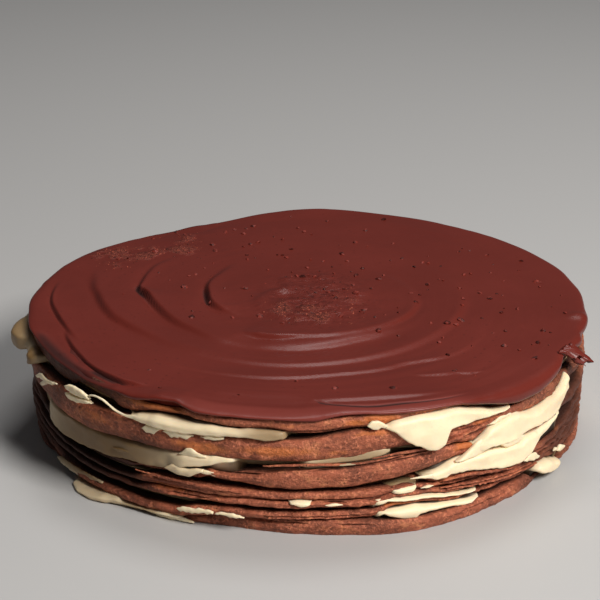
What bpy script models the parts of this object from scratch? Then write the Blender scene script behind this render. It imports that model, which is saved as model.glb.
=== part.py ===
"""Chocolate crepe cake: eight crepes, the cream between them, and a ganache top spread in a swirl.

Every layer is a closed disc. Its faces are fans that run from the cake's axis out to a contact
ring, and its side is lofted round the cake through unlike sections, one at each azimuth. Two
layers that touch share the same contact ring, so the gap between them is even.

Azimuths are in degrees, 0 at +X and 270 at -Y, the front. Layer tables are in millimetres.
"""

import math

import bmesh
import bpy
import numpy as np

MM = 0.001

# Driving dimensions, in metres.
TOP_RADIUS = 0.102
BASE_RADIUS = 0.1005
RIM_HEIGHT = 0.0436
AXIS_X = 0.00203
AXIS_Y = -0.00072

GAP = 0.0003
CORE_CREPE = 0.0023
CORE_GANACHE = 0.0030
LEAST_CREPE = 0.0011
LEAST_CREAM = 0.0005
EDGE_DEPTH = 0.0024
EDGE_ROUND_TOP = 0.28
EDGE_ROUND_FOOT = 0.12
EDGE_LEAN = 0.0003
LEAST_BULGE = 0.0005
LEAST_OVERHANG = 0.0010
COVER_THICKNESS = 0.0012
COVER_GAP = 0.0005
FULL_SAG = 0.0015
TABLE_GAP = 0.0002
FOOT_INSET = 0.0010

# The sections' azimuths: close together across the uneven front, wider round the back.
FRONT_START = 204.0
FRONT_END = 336.0
FRONT_STEPS = 33
BACK_STEPS = 25
STEPS = FRONT_STEPS + BACK_STEPS
AZIMUTHS = np.concatenate(
    (
        np.linspace(FRONT_START, FRONT_END, FRONT_STEPS, endpoint=False),
        np.linspace(FRONT_END, FRONT_START + 360.0, BACK_STEPS, endpoint=False) % 360.0,
    )
)

# Each crepe's edge: its usual (low, high, inset), then the spans of azimuth where it differs,
# as (start, end, softness, low, high, inset). The inset is from the cake's side.
CREPES = (
    (
        (0.0, 3.0, 1.2),
        (
            (200, 256, 8, 0.0, 1.1, 4.6),
            (256, 318, 6, 0.0, 5.2, 1.2),
            (258, 267, 8, 0.0, 5.0, 3.0),
            (280, 302, 8, 0.0, 4.8, -0.8),
            (286, 297, 6, 0.0, 4.2, -2.2),
            (318, 340, 6, 0.0, 1.6, 3.4),
        ),
    ),
    (
        (6.0, 8.5, 1.0),
        (
            (196, 214, 8, 2.8, 5.9, 3.0),
            (214, 246, 8, 2.2, 4.9, 0.6),
            (246, 257, 5, 2.6, 5.8, 1.0),
            (257, 283, 4, 6.0, 7.8, 1.0),
            (283, 293, 5, 9.4, 10.8, 0.8),
            (293, 303, 6, 7.6, 9.2, 0.7),
            (312, 336, 8, 6.2, 7.9, 2.2),
        ),
    ),
    (
        (10.2, 12.6, 0.5),
        (
            (196, 236, 8, 7.5, 9.3, 2.8),
            (238, 258, 5, 8.8, 11.4, 0.5),
            (258, 284, 5, 9.8, 12.1, 0.5),
            (284, 303, 6, 11.9, 13.3, 0.4),
            (310, 332, 8, 8.6, 10.0, 1.6),
        ),
    ),
    (
        (13.3, 15.6, 0.6),
        (
            (196, 236, 8, 10.3, 11.8, 3.2),
            (236, 284, 5, 12.6, 15.0, 0.6),
            (284, 303, 6, 14.2, 15.8, 0.7),
            (308, 332, 8, 10.7, 12.1, 1.2),
        ),
    ),
    (
        (16.9, 19.0, 0.8),
        (
            (198, 234, 8, 12.6, 13.8, 5.4),
            (232, 292, 5, 15.5, 16.6, 8.0),
            (305, 331, 8, 12.7, 14.4, 0.8),
        ),
    ),
    (
        (20.8, 24.8, 0.6),
        (
            (200, 246, 8, 14.8, 16.8, 3.4),
            (250, 285, 5, 17.3, 22.6, 0.1),
            (285, 294, 6, 19.0, 25.0, 0.2),
            (294, 305, 5, 22.6, 27.6, 0.8),
            (305, 313, 4, 22.6, 24.2, 5.4),
            (313, 329, 4, 22.6, 24.2, 1.2),
        ),
    ),
    (
        (28.6, 33.4, 0.6),
        (
            (200, 247, 6, 25.0, 34.2, 0.4),
            (247, 278, 6, 26.3, 34.0, 0.0),
            (278, 298, 6, 29.0, 36.0, 0.8),
            (298, 311, 5, 30.0, 34.8, 0.8),
            (311, 350, 5, 33.6, 35.6, 2.2),
            (337, 350, 5, 29.6, 35.6, 1.2),
        ),
    ),
    (
        (37.2, 41.4, 1.0),
        (
            (178, 206, 6, 39.4, 41.6, 2.0),
            (212, 258, 5, 39.0, 41.8, 0.6),
            (258, 281, 4, 37.2, 41.9, 0.2),
            (281, 304, 4, 41.2, 43.0, 0.8),
            (304, 350, 5, 37.6, 40.0, 3.4),
        ),
    ),
)

# Each filling: how far it usually reaches past the cake's side and how far it sags, then the
# spans where it differs, as (start, end, softness, reach, sag).
CREAMS = (
    (
        (-8.0, 0.0),
        (
            (215, 226, 7, 6.0, 1.2),
            (226, 238, 6, 1.2, 0.6),
            (240, 246, 4, 0.4, 0.6),
            (283, 293, 4, 1.2, 0.8),
            (293, 306, 5, -0.2, 0.0),
            (323, 334, 4, 1.2, 1.2),
        ),
    ),
    (
        (-7.0, 0.0),
        (
            (245, 257, 4, -0.6, 0.0),
            (284, 304, 5, 0.4, 0.0),
        ),
    ),
    (
        (-6.0, 0.0),
        (
            (255, 260, 4, -0.4, 0.0),
            (266, 272, 4, 0.3, 0.0),
        ),
    ),
    (
        (-7.0, 0.0),
        (
            (286, 291, 4, 0.2, 0.0),
        ),
    ),
    (
        (-10.0, 0.0),
        (
            (289, 302, 6, 0.8, 0.0),
            (300, 322, 6, 2.4, 0.5),
            (322, 332, 4, 0.8, 0.0),
            (334, 350, 6, -3.0, 0.0),
        ),
    ),
    (
        (-10.0, 0.0),
        (
            (200, 246, 8, 0.7, 0.0),
            (243, 252, 5, 1.8, 3.0),
            (271, 284, 6, -2.0, 0.0),
            (303, 324, 6, 2.0, 0.0),
            (324, 335, 4, 1.4, 0.0),
            (337, 350, 6, -2.6, 0.0),
        ),
    ),
    (
        (-10.0, 0.0),
        (
            (180, 196, 8, 5.2, 0.6),
            (196, 208, 6, 0.4, 0.0),
            (216, 225, 5, 1.0, 1.8),
            (228, 237, 5, -1.4, 0.0),
            (237, 257, 5, 0.8, 0.0),
            (257, 265, 4, -1.2, 0.0),
            (280, 286, 4, 0.4, 0.0),
            (286, 297, 5, 2.8, 8.0),
            (298, 311, 6, 0.8, 0.0),
        ),
    ),
)

# Out of sight, from one end of the shown side round the back to the other, crepe edges and
# fillings go on in the same uneven way.
BACK_START = 352.0
BACK_END = 178.0
BACK_SOFTNESS = 16.0
CREPE_WAVE = 0.0007
CREPE_INSET_WAVE = 0.0006
CREAM_WAVE = 0.0030
CREAM_BACK_REACH = -0.0012

# The ganache's rim: its usual (lower edge, top, reach), then the spans where it differs.
GANACHE_RIM = (
    (40.6, 43.4, 0.0),
    (
        (18, 68, 20, 40.6, 44.0, 1.4),
        (76, 96, 16, 41.4, 45.0, 2.0),
        (108, 132, 16, 38.8, 41.8, -2.4),
        (150, 200, 14, 40.8, 43.4, -1.0),
        (200, 236, 14, 41.4, 43.6, -2.4),
        (240, 248, 5, 42.6, 44.4, -1.4),
        (250, 274, 5, 41.7, 43.8, 0.3),
        (274, 284, 4, 43.6, 44.9, 0.0),
        (284, 302, 4, 42.9, 44.4, 0.6),
        (306, 328, 6, 35.6, 42.6, 1.5),
        (328, 348, 10, 38.6, 43.2, 1.0),
    ),
)
LIP_TOP_INSET = 0.0014
LIP_CREST_INSET = 0.0045
LIP_CREST_RISE = 0.0004
LIP_THICKNESS = 0.0012
LIP_UNDERCUT = 0.0001
SEAT_GAP = 0.0004
FULL_DRAPE = 0.0010

# The swirl's ridges: radius to the right, back, left and front, as shares of the top radius.
# Each ridge falls outwards from a crest to a trough.
RIDGES = (
    (0.190, 0.200, 0.180, 0.170),
    (0.385, 0.450, 0.370, 0.370),
    (0.570, 0.670, 0.580, 0.530),
    (0.740, 0.820, 0.755, 0.665),
    (0.870, 0.915, 0.905, 0.820),
)
RIDGE_HALF_WIDTH = 0.022
RIDGE_HALF_FALL = 0.0012
RIDGE_STRONG_AZIMUTH = 215.0
RIDGE_MEAN_STRENGTH = 0.62
RIDGE_STRENGTH_SWING = 0.38
CENTRE_HEIGHT = 0.0442
CENTRE_PEAK = 0.0010
PEAK_RADIUS = 0.08

CREPE_COLOUR = (0.26, 0.085, 0.045, 1.0)
CREAM_COLOUR = (0.86, 0.74, 0.50, 1.0)
GANACHE_COLOUR = (0.13, 0.030, 0.022, 1.0)


def smooth_step(amount):
    amount = np.clip(amount, 0.0, 1.0)
    return amount * amount * (3.0 - 2.0 * amount)


def span_weight(azimuths, start, end, softness):
    """1 within the span from start to end, falling softly to 0 outside it."""
    half_length = ((end - start) % 360.0) / 2.0
    off_centre = (azimuths - start - half_length + 180.0) % 360.0 - 180.0
    return smooth_step((half_length - np.abs(off_centre)) / softness + 0.5)


def follow_spans(azimuths, usual, spans):
    """One column for each value: the usual value, drawn to each span's own values in turn."""
    columns = np.tile(np.array(usual), (len(azimuths), 1))
    for start, end, softness, *values in spans:
        weight = span_weight(azimuths, start, end, softness)[:, None]
        columns += weight * (np.array(values) - columns)
    return (columns * MM).T


def back_weight(azimuths):
    return span_weight(azimuths, BACK_START, BACK_END, BACK_SOFTNESS)


def wave(azimuths, number):
    """An uneven wave between about -1 and 1, different for each number."""
    turn = np.radians(azimuths)
    return (
        0.5 * np.sin(2.0 * turn + 2.4 * number)
        + 0.3 * np.sin(5.0 * turn + 4.1 * number)
        + 0.2 * np.sin(9.0 * turn + 1.3 * number)
    )


def side_radius(height):
    return BASE_RADIUS + (TOP_RADIUS - BASE_RADIUS) * np.clip(height / RIM_HEIGHT, 0.0, 1.0)


def crepe_edges(azimuths):
    """Low and high height and reach of each crepe's edge, from the bottom one up, none touching."""
    edges = []
    floor = np.zeros(len(azimuths))
    for number, (usual, spans) in enumerate(CREPES):
        low, high, inset = follow_spans(azimuths, usual, spans)
        back = back_weight(azimuths)
        lift = CREPE_WAVE * back * wave(azimuths, number)
        if number > 0:
            low = low + lift
        low = np.maximum(low, floor)
        high = np.maximum(high + lift, low + LEAST_CREPE)
        inset = inset + CREPE_INSET_WAVE * back * wave(azimuths, number + 20)
        edges.append((low, high, side_radius(0.5 * (low + high)) - inset))
        floor = high + LEAST_CREAM + 2.0 * GAP
    return edges


def cream_reaches(azimuths, edges):
    """Reach and sag of each filling's edge."""
    reaches = []
    for number, (usual, spans) in enumerate(CREAMS):
        reach, sag = follow_spans(azimuths, usual, spans)
        back = back_weight(azimuths)
        back_reach = CREAM_BACK_REACH + CREAM_WAVE * wave(azimuths, number + 40)
        reach = reach + back * (back_reach - reach)
        middle = 0.5 * (edges[number][1] + edges[number + 1][0])
        reaches.append((side_radius(middle) + reach, sag))
    return reaches


def section(*points):
    """Sections at every azimuth, from (radius, height) pairs: an array of azimuth, point, 2."""
    rows = [np.stack(np.broadcast_arrays(radius, height), axis=-1) for radius, height in points]
    return np.stack(rows, axis=1)


def mix(first, second, share):
    return first + share * (second - first)


def shorten_top_crepe(edges, ganache_reach):
    """Keeps the top crepe's edge under the ganache's lip."""
    low, high, reach = edges[-1]
    edges[-1] = (low, high, np.minimum(reach, ganache_reach - LEAST_OVERHANG))


def contact_rings(edges, reaches, ganache_reach):
    """Radius of the ring where each crepe's top meets the layer above it."""
    rings = []
    for number, (_, _, reach) in enumerate(edges[:-1]):
        shorter = np.minimum(reach, edges[number + 1][2]) - EDGE_DEPTH
        rings.append(np.minimum(shorter, reaches[number][0]))
    rings.append(np.minimum(edges[-1][2], ganache_reach) - EDGE_DEPTH)
    return rings


def core_heights():
    """Low and high height of each crepe at the cake's axis."""
    crepes = len(CREPES)
    fillings = RIM_HEIGHT - CORE_GANACHE - crepes * CORE_CREPE - (2 * crepes - 1) * GAP
    pitch = CORE_CREPE + fillings / len(CREAMS) + 2.0 * GAP
    return [(number * pitch, number * pitch + CORE_CREPE) for number in range(crepes)]


def crepe_sections(number, edges, rings):
    low, high, reach = edges[number]
    thickness = high - low
    foot = rings[number - 1] if number else reach - FOOT_INSET
    return section(
        (rings[number], high),
        (reach, high - EDGE_ROUND_TOP * thickness),
        (reach - EDGE_LEAN, low + EDGE_ROUND_FOOT * thickness),
        (foot, low),
    )


def cream_sections(number, edges, reaches, rings):
    """The filling's side. Where it sags it passes over the edge of the crepe below it."""
    _, floor, crepe_reach = edges[number]
    floor_corner = floor - EDGE_ROUND_TOP * (floor - edges[number][0])
    low = floor + GAP
    high = edges[number + 1][0] - GAP
    thickness = high - low
    reach, sag = reaches[number]
    ring = rings[number]
    if not sag.any():
        bulge = np.maximum(reach - ring, LEAST_BULGE)
        return section((ring, high), (ring + bulge, mix(low, high, 0.5)), (ring, low))
    over = smooth_step(sag / FULL_SAG)
    over = np.maximum(over, np.maximum(np.roll(over, 1), np.roll(over, -1)))
    reach = mix(reach, np.maximum(reach, crepe_reach + COVER_THICKNESS), over)
    bulge = np.maximum(reach - ring, LEAST_BULGE)
    under_radius = mix(ring + 0.75 * bulge, crepe_reach + COVER_GAP, over)
    under_height = mix(low + 0.06 * thickness, low - sag + COVER_GAP, over)
    corner_radius = mix(ring + 0.35 * bulge, crepe_reach + COVER_GAP, over)
    corner_height = mix(low + 0.02 * thickness, floor_corner + COVER_GAP, over)
    return section(
        (ring, high),
        (ring + 0.8 * bulge, high - 0.3 * thickness),
        (ring + bulge, np.maximum(low + 0.3 * thickness - sag, 2.0 * TABLE_GAP)),
        (under_radius, np.maximum(under_height, TABLE_GAP)),
        (corner_radius, np.maximum(corner_height, 1.5 * TABLE_GAP)),
        (ring, low),
    )


def ridge_radii(azimuths, quarters):
    """A smooth closed curve through a radius at each quarter of the turn."""
    right, back, left, front = quarters
    turn = np.radians(azimuths)
    mean = (right + back + left + front) / 4.0
    oval = (right + left - back - front) / 4.0
    share = mean + 0.5 * (right - left) * np.cos(turn) + 0.5 * (back - front) * np.sin(turn)
    return (share + oval * np.cos(2.0 * turn)) * TOP_RADIUS


def ganache_sections(azimuths, edges, rings):
    """The swirled top from its peak out to the lip, then down and back under to the crepe."""
    edge, top, reach = ganache_rim(azimuths)
    low, high, crepe_reach = edges[-1]
    turn = np.radians(azimuths - RIDGE_STRONG_AZIMUTH)
    strength = RIDGE_MEAN_STRENGTH + RIDGE_STRENGTH_SWING * np.cos(turn)

    def surface(radius):
        return mix(CENTRE_HEIGHT, top, (radius / reach) ** 2)

    points = [(PEAK_RADIUS * TOP_RADIUS, np.full(STEPS, CENTRE_HEIGHT))]
    for quarters in RIDGES:
        radius = ridge_radii(azimuths, quarters)
        for side in (-1.0, 1.0):
            at = radius + side * RIDGE_HALF_WIDTH * TOP_RADIUS
            points.append((at, surface(at) - side * RIDGE_HALF_FALL * strength))
    points.append((reach - LIP_CREST_INSET, top + LIP_CREST_RISE))
    points.append((reach - LIP_TOP_INSET, top))

    ring = rings[-1]
    seat_radius = np.minimum(reach, crepe_reach + 2.0 * SEAT_GAP) - SEAT_GAP
    slope = EDGE_ROUND_TOP * (high - low) / (crepe_reach - ring)
    seat_fall = slope * np.minimum(seat_radius - ring, crepe_reach - ring)
    seat_height = high - seat_fall + SEAT_GAP
    drape = smooth_step((seat_height - edge) / FULL_DRAPE)
    edge = np.minimum(edge, top - LIP_THICKNESS)
    lip_radius = np.maximum(reach - LIP_THICKNESS, seat_radius + 0.5 * SEAT_GAP)
    inner_radius = mix(mix(seat_radius, reach, 0.5), lip_radius, drape)
    inner_height = mix(mix(seat_height, edge, 0.5), edge + GAP, drape)
    points.append((reach, mix(edge, top, 0.55)))
    points.append((reach - LIP_UNDERCUT, edge))
    points.append((inner_radius, inner_height))
    points.append((seat_radius, seat_height))
    points.append((ring, high + GAP))
    return section(*points)


def ganache_rim(azimuths):
    edge, top, reach = follow_spans(azimuths, *GANACHE_RIM)
    return edge, top, side_radius(RIM_HEIGHT) + reach


def loft_disc(name, sections, top_centre, bottom_centre, material, collection):
    """A closed disc: a fan on top, sides through the sections, and a fan below."""
    body = bmesh.new()
    turn = np.radians(AZIMUTHS)
    loops = []
    for index in range(sections.shape[1]):
        radius, height = sections[:, index, 0], sections[:, index, 1]
        places = zip(AXIS_X + radius * np.cos(turn), AXIS_Y + radius * np.sin(turn), height)
        loops.append([body.verts.new(place) for place in places])
    for upper, lower in zip(loops, loops[1:]):
        for this in range(STEPS):
            following = (this + 1) % STEPS
            body.faces.new((upper[this], lower[this], lower[following], upper[following]))
    for loop, height in ((loops[0], top_centre), (loops[-1], bottom_centre)):
        centre = body.verts.new((AXIS_X, AXIS_Y, height))
        for this in range(STEPS):
            body.faces.new((centre, loop[this], loop[(this + 1) % STEPS]))
    bmesh.ops.triangulate(body, faces=body.faces[:])
    bmesh.ops.recalc_face_normals(body, faces=body.faces[:])
    mesh = bpy.data.meshes.new(name)
    body.to_mesh(mesh)
    body.free()
    mesh.materials.append(material)
    mesh.shade_smooth()
    mesh.set_sharp_from_angle(angle=math.radians(24.0))
    part = bpy.data.objects.new(name, mesh)
    collection.objects.link(part)
    return part


def food_material(name, colour, roughness):
    material = bpy.data.materials.new(name)
    material.use_nodes = True
    shader = material.node_tree.nodes["Principled BSDF"]
    shader.inputs["Base Color"].default_value = colour
    shader.inputs["Roughness"].default_value = roughness
    shader.inputs["Metallic"].default_value = 0.0
    return material


def clear_scene():
    for item in list(bpy.data.objects):
        bpy.data.objects.remove(item, do_unlink=True)


def make_cake():
    clear_scene()
    collection = bpy.data.collections.new("crepe_cake")
    bpy.context.scene.collection.children.link(collection)

    edges = crepe_edges(AZIMUTHS)
    ganache_reach = ganache_rim(AZIMUTHS)[2]
    shorten_top_crepe(edges, ganache_reach)
    reaches = cream_reaches(AZIMUTHS, edges)
    rings = contact_rings(edges, reaches, ganache_reach)
    cores = core_heights()

    for number, (low, high) in enumerate(cores):
        name = f"crepe_{number + 1}"
        material = food_material(name, CREPE_COLOUR, 0.6)
        loft_disc(name, crepe_sections(number, edges, rings), high, low, material, collection)

    for number in range(len(CREAMS)):
        name = f"cream_{number + 1}"
        material = food_material(name, CREAM_COLOUR, 0.4)
        sides = cream_sections(number, edges, reaches, rings)
        top_centre = cores[number + 1][0] - GAP
        bottom_centre = cores[number][1] + GAP
        loft_disc(name, sides, top_centre, bottom_centre, material, collection)

    material = food_material("ganache", GANACHE_COLOUR, 0.45)
    sides = ganache_sections(AZIMUTHS, edges, rings)
    peak = CENTRE_HEIGHT + CENTRE_PEAK
    loft_disc("ganache", sides, peak, cores[-1][1] + GAP, material, collection)


make_cake()
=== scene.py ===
"""Chocolate crepe cake: torn crepe edges, cream pressed out between them, a swirled ganache top."""

import math

import bpy
import numpy as np
from bpy.props import FloatProperty, FloatVectorProperty, IntProperty, PointerProperty
from bpy.types import Operator, Panel, PropertyGroup
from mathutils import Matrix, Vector


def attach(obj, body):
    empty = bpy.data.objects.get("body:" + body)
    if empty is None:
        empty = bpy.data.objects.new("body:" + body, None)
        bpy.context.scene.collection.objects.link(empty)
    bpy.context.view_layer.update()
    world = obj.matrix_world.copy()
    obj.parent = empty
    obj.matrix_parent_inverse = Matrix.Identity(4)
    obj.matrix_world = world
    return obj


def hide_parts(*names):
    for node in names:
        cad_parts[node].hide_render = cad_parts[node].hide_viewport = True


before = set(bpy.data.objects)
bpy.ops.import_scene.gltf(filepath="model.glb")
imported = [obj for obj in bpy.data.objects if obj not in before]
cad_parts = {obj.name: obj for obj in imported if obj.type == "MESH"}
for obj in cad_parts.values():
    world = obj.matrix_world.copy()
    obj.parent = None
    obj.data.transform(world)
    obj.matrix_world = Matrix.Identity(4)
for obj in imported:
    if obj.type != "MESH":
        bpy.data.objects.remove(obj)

bl_info = {
    "name": "Crepe cake",
    "version": (1, 0, 0),
    "blender": (4, 5, 0),
    "location": "View3D > Sidebar > Crepe cake",
    "description": "Makes the layers, toppings and stage of a chocolate crepe cake",
    "category": "Object",
}

MM = 0.001

# Turns in degrees, and a quarter turn in radians for rounded profiles.
FULL_TURN = 360.0
HALF_TURN = 180.0
QUARTER = 0.5 * math.pi

# The cake's own sizes, in metres, as its solids have them.
TOP_RADIUS = 0.102
BASE_RADIUS = 0.1005
RIM_HEIGHT = 0.0436
AXIS_X = 0.00203
AXIS_Y = -0.00072
GAP = 0.0003
CORE_CREPE = 0.0023
CORE_GANACHE = 0.0030
CIRCUMFERENCE = 2.0 * math.pi * TOP_RADIUS

# The least that a layer keeps at its edge, and how far in from it the layers touch.
LEAST_CREPE = 0.0010
LEAST_FILLING = 0.0004
LEAST_SLOT = 0.0002
OVERLAP = 0.0001
EDGE_DEPTH = 0.0024
RING_COVER = 0.0008

# How far from the origin the pieces may reach, and their least height above the floor.
MOST_X = 0.1043
MOST_Y = 0.1029
HIGHEST = 0.0455
FLOOR_GAP = 0.00015

# Azimuths are in degrees, 0 at +X and 270 at -Y, the front, where the steps are finest.
FRONT_START = 188.0
FRONT_END = 350.0
FRONT_STEPS = 520
BACK_STEPS = 240
AZIMUTHS = np.concatenate(
    (
        np.linspace(FRONT_START, FRONT_END, FRONT_STEPS, endpoint=False),
        np.linspace(FRONT_END, FRONT_START + FULL_TURN, BACK_STEPS, endpoint=False) % FULL_TURN,
    )
)
STEPS = len(AZIMUTHS)

# Each crepe's edge, in millimetres: rows of azimuth, low, high and inset.
CREPES = (
    (
        (20, 0.0, 3.0, 1.2), (196, 0.0, 2.6, 2.0), (205, 0.0, 1.1, 4.6), (228, 0.0, 1.1, 4.2),
        (236, 0.0, 1.3, 3.0), (242, 0.0, 1.6, 2.5), (247, 0.0, 2.4, 2.8), (251, 0.0, 3.6, 3.4),
        (255, 0.0, 4.8, 3.6), (262, 0.0, 5.0, 3.1), (268, 0.0, 5.1, 1.8), (275, 0.0, 5.2, 0.4),
        (281, 0.0, 5.0, -1.0), (287, 0.0, 4.7, -2.1), (291, 0.0, 4.6, -2.6), (296, 0.0, 4.7, -2.0),
        (302, 0.0, 4.9, -1.0), (308, 0.0, 4.9, -0.1), (313, 0.0, 4.8, 0.5), (319.5, 0.0, 4.6, 0.9),
        (321.8, 0.0, 2.4, 1.4), (325, 0.0, 1.6, 2.6), (336, 0.0, 2.4, 1.2), (346, 0.0, 3.2, 0.2),
    ),
    (
        (20, 6.0, 8.5, 1.0), (192, 5.6, 8.0, 1.4), (200, 3.0, 6.0, 2.8), (212, 2.6, 5.6, 2.4),
        (219, 2.3, 5.0, 1.0), (244, 2.3, 5.4, 0.6), (249, 3.9, 7.6, 0.8), (255, 5.1, 8.3, 0.9),
        (282, 5.6, 8.3, 0.9), (287, 8.9, 10.3, 0.8), (292, 8.9, 10.3, 0.8), (297, 7.5, 8.9, 0.7),
        (306, 7.0, 8.5, 0.8), (314, 6.3, 8.0, 1.8), (334, 6.2, 7.9, 0.8), (344, 6.0, 8.3, 0.1),
    ),
    (
        (20, 10.2, 12.6, 0.5), (190, 10.0, 12.4, 0.8), (200, 7.5, 9.3, 2.6), (234, 7.5, 9.3, 2.6),
        (241, 9.3, 12.2, 0.6), (257, 9.9, 12.4, 0.5), (282, 10.1, 12.5, 0.5),
        (288, 12.2, 13.9, 0.4), (293, 12.0, 13.4, 0.4), (299, 10.3, 11.9, 0.6),
        (307, 10.0, 11.7, 0.8), (314, 8.8, 10.3, 1.4), (330, 8.7, 10.2, 1.0), (342, 9.8, 12.0, 0.1),
    ),
    (
        (20, 13.3, 15.6, 0.6), (190, 13.2, 15.4, 0.8), (200, 10.3, 11.8, 3.0),
        (232, 10.3, 11.8, 3.0), (239, 12.3, 15.3, 0.7), (250, 12.6, 16.0, 0.5),
        (268, 12.7, 15.3, 0.7), (282, 12.8, 15.6, 0.6), (288, 14.3, 15.8, 0.7),
        (294, 13.6, 15.1, 0.6), (304, 12.7, 14.3, 0.5), (311, 10.9, 12.3, 1.2),
        (330, 10.8, 12.2, 0.8), (341, 12.8, 15.0, 0.2),
    ),
    (
        (20, 16.9, 19.0, 0.8), (190, 16.6, 18.6, 1.4), (199, 12.8, 14.2, 5.0),
        (231, 12.8, 14.2, 5.4), (237, 15.5, 16.5, 7.6), (289, 15.9, 16.9, 7.6),
        (292, 15.4, 16.8, 4.0), (295, 14.9, 17.2, 0.8), (303, 14.7, 16.8, 0.7),
        (309, 13.2, 15.0, 0.8), (328, 12.9, 14.6, 0.6), (338, 15.8, 18.0, 0.3),
    ),
    (
        (20, 20.8, 24.8, 0.6), (190, 20.2, 23.8, 1.4), (200, 14.9, 16.9, 3.4),
        (246, 15.0, 17.0, 3.0), (249, 17.0, 19.6, 1.6), (252, 19.2, 22.0, 0.5),
        (256, 19.1, 22.1, 0.2), (262, 17.8, 22.8, 0.1), (267, 17.4, 23.8, 0.0),
        (275, 17.7, 24.8, 0.0), (282, 18.6, 25.4, 0.1), (290, 20.1, 27.0, 0.2),
        (296, 22.0, 27.4, 0.6), (300, 22.8, 27.0, 0.6), (303, 23.0, 26.4, 0.2),
        (305.5, 23.3, 25.4, -1.0), (309, 23.3, 24.6, -1.0), (311, 23.2, 24.4, 2.4),
        (313.5, 23.2, 24.4, 2.4), (315.5, 23.0, 24.9, -0.9), (325, 23.2, 25.2, -0.7),
        (330, 22.0, 25.6, 0.6), (345, 20.9, 24.9, 0.2),
    ),
    (
        (20, 28.6, 33.4, 0.6), (190, 27.8, 32.6, 1.0), (200, 25.4, 33.2, 0.6),
        (208, 24.9, 34.2, 0.4), (216, 24.7, 34.0, 0.2), (226, 25.1, 33.3, 0.1),
        (231, 25.6, 33.9, 0.1), (235, 26.1, 34.8, 0.0), (245, 26.6, 34.2, 0.0),
        (256, 27.0, 34.7, 0.0), (268, 27.3, 34.6, 0.1), (273, 27.6, 35.6, 0.1),
        (277, 28.0, 37.0, 0.1), (280, 28.6, 37.6, 0.2), (284, 29.9, 38.2, 0.4),
        (290, 30.4, 37.6, 0.8), (294, 29.6, 36.0, 0.8), (297, 28.4, 35.0, 0.8),
        (300, 27.4, 34.6, 0.6), (303, 27.2, 34.6, 0.5), (305.5, 28.8, 34.6, 0.5),
        (308, 31.0, 34.8, 0.4), (313, 31.2, 35.0, 0.6), (318, 30.2, 35.2, 0.8),
        (326, 30.0, 35.4, 0.9), (336, 30.2, 35.4, 1.0), (346, 29.4, 34.6, 0.3),
    ),
    (
        (20, 37.2, 41.4, 1.0), (180, 39.0, 41.4, 1.6), (200, 35.4, 41.4, 1.6),
        (208, 34.7, 41.6, 0.8), (214.5, 34.8, 41.8, 0.7), (218, 37.2, 42.0, 0.8),
        (224, 37.5, 42.0, 1.0), (229, 37.1, 41.9, 0.9), (231.5, 35.8, 41.7, 0.8),
        (235.5, 36.2, 41.6, 0.7), (239, 38.2, 41.0, 0.9), (243, 38.6, 40.9, 1.2),
        (246.5, 38.8, 41.3, 0.7), (250, 38.8, 41.6, 0.4), (258, 38.3, 41.7, 0.2),
        (265, 37.7, 41.8, 0.1), (270, 37.1, 41.9, 0.0), (272.5, 37.2, 42.5, -0.1),
        (275, 37.5, 42.1, 0.1), (278, 37.9, 42.4, 0.1), (281, 38.2, 42.8, 0.1),
        (285, 38.9, 43.0, 0.3), (290, 40.6, 43.0, 0.6), (298, 41.2, 42.8, 0.9),
        (304, 38.9, 40.9, 2.4), (310, 37.6, 40.0, 3.4), (334, 37.6, 40.2, 3.2),
        (346, 37.6, 41.2, 1.6),
    ),
)

# Torn slits in the crepes' edges: crepe, start, end, height share, depth and half thickness in mm.
SLITS = (
    (0, 259, 270, 0.78, 1.6, 0.28),
    (0, 276, 282, 0.80, 1.2, 0.25),
    (0, 300, 312, 0.62, 1.0, 0.25),
    (1, 262, 281, 0.45, 0.9, 0.22),
    (2, 243, 251, 0.60, 1.1, 0.25),
    (2, 273, 277, 0.82, 1.8, 0.30),
    (2, 281, 285, 0.82, 1.8, 0.30),
    (3, 238, 246, 0.35, 1.0, 0.25),
    (3, 257, 262, 0.20, 1.6, 0.28),
    (3, 298, 309, 0.50, 1.0, 0.22),
    (4, 297, 306, 0.40, 1.2, 0.28),
    (5, 271, 293, 0.90, 1.5, 0.30),
    (5, 276, 290, 0.78, 1.0, 0.25),
    (5, 252, 262, 0.90, 1.6, 0.35),
    (6, 300, 312, 0.30, 1.5, 0.35),
    (6, 296, 309, 0.66, 1.0, 0.30),
    (7, 262, 277, 0.12, 1.0, 0.30),
)

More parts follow.
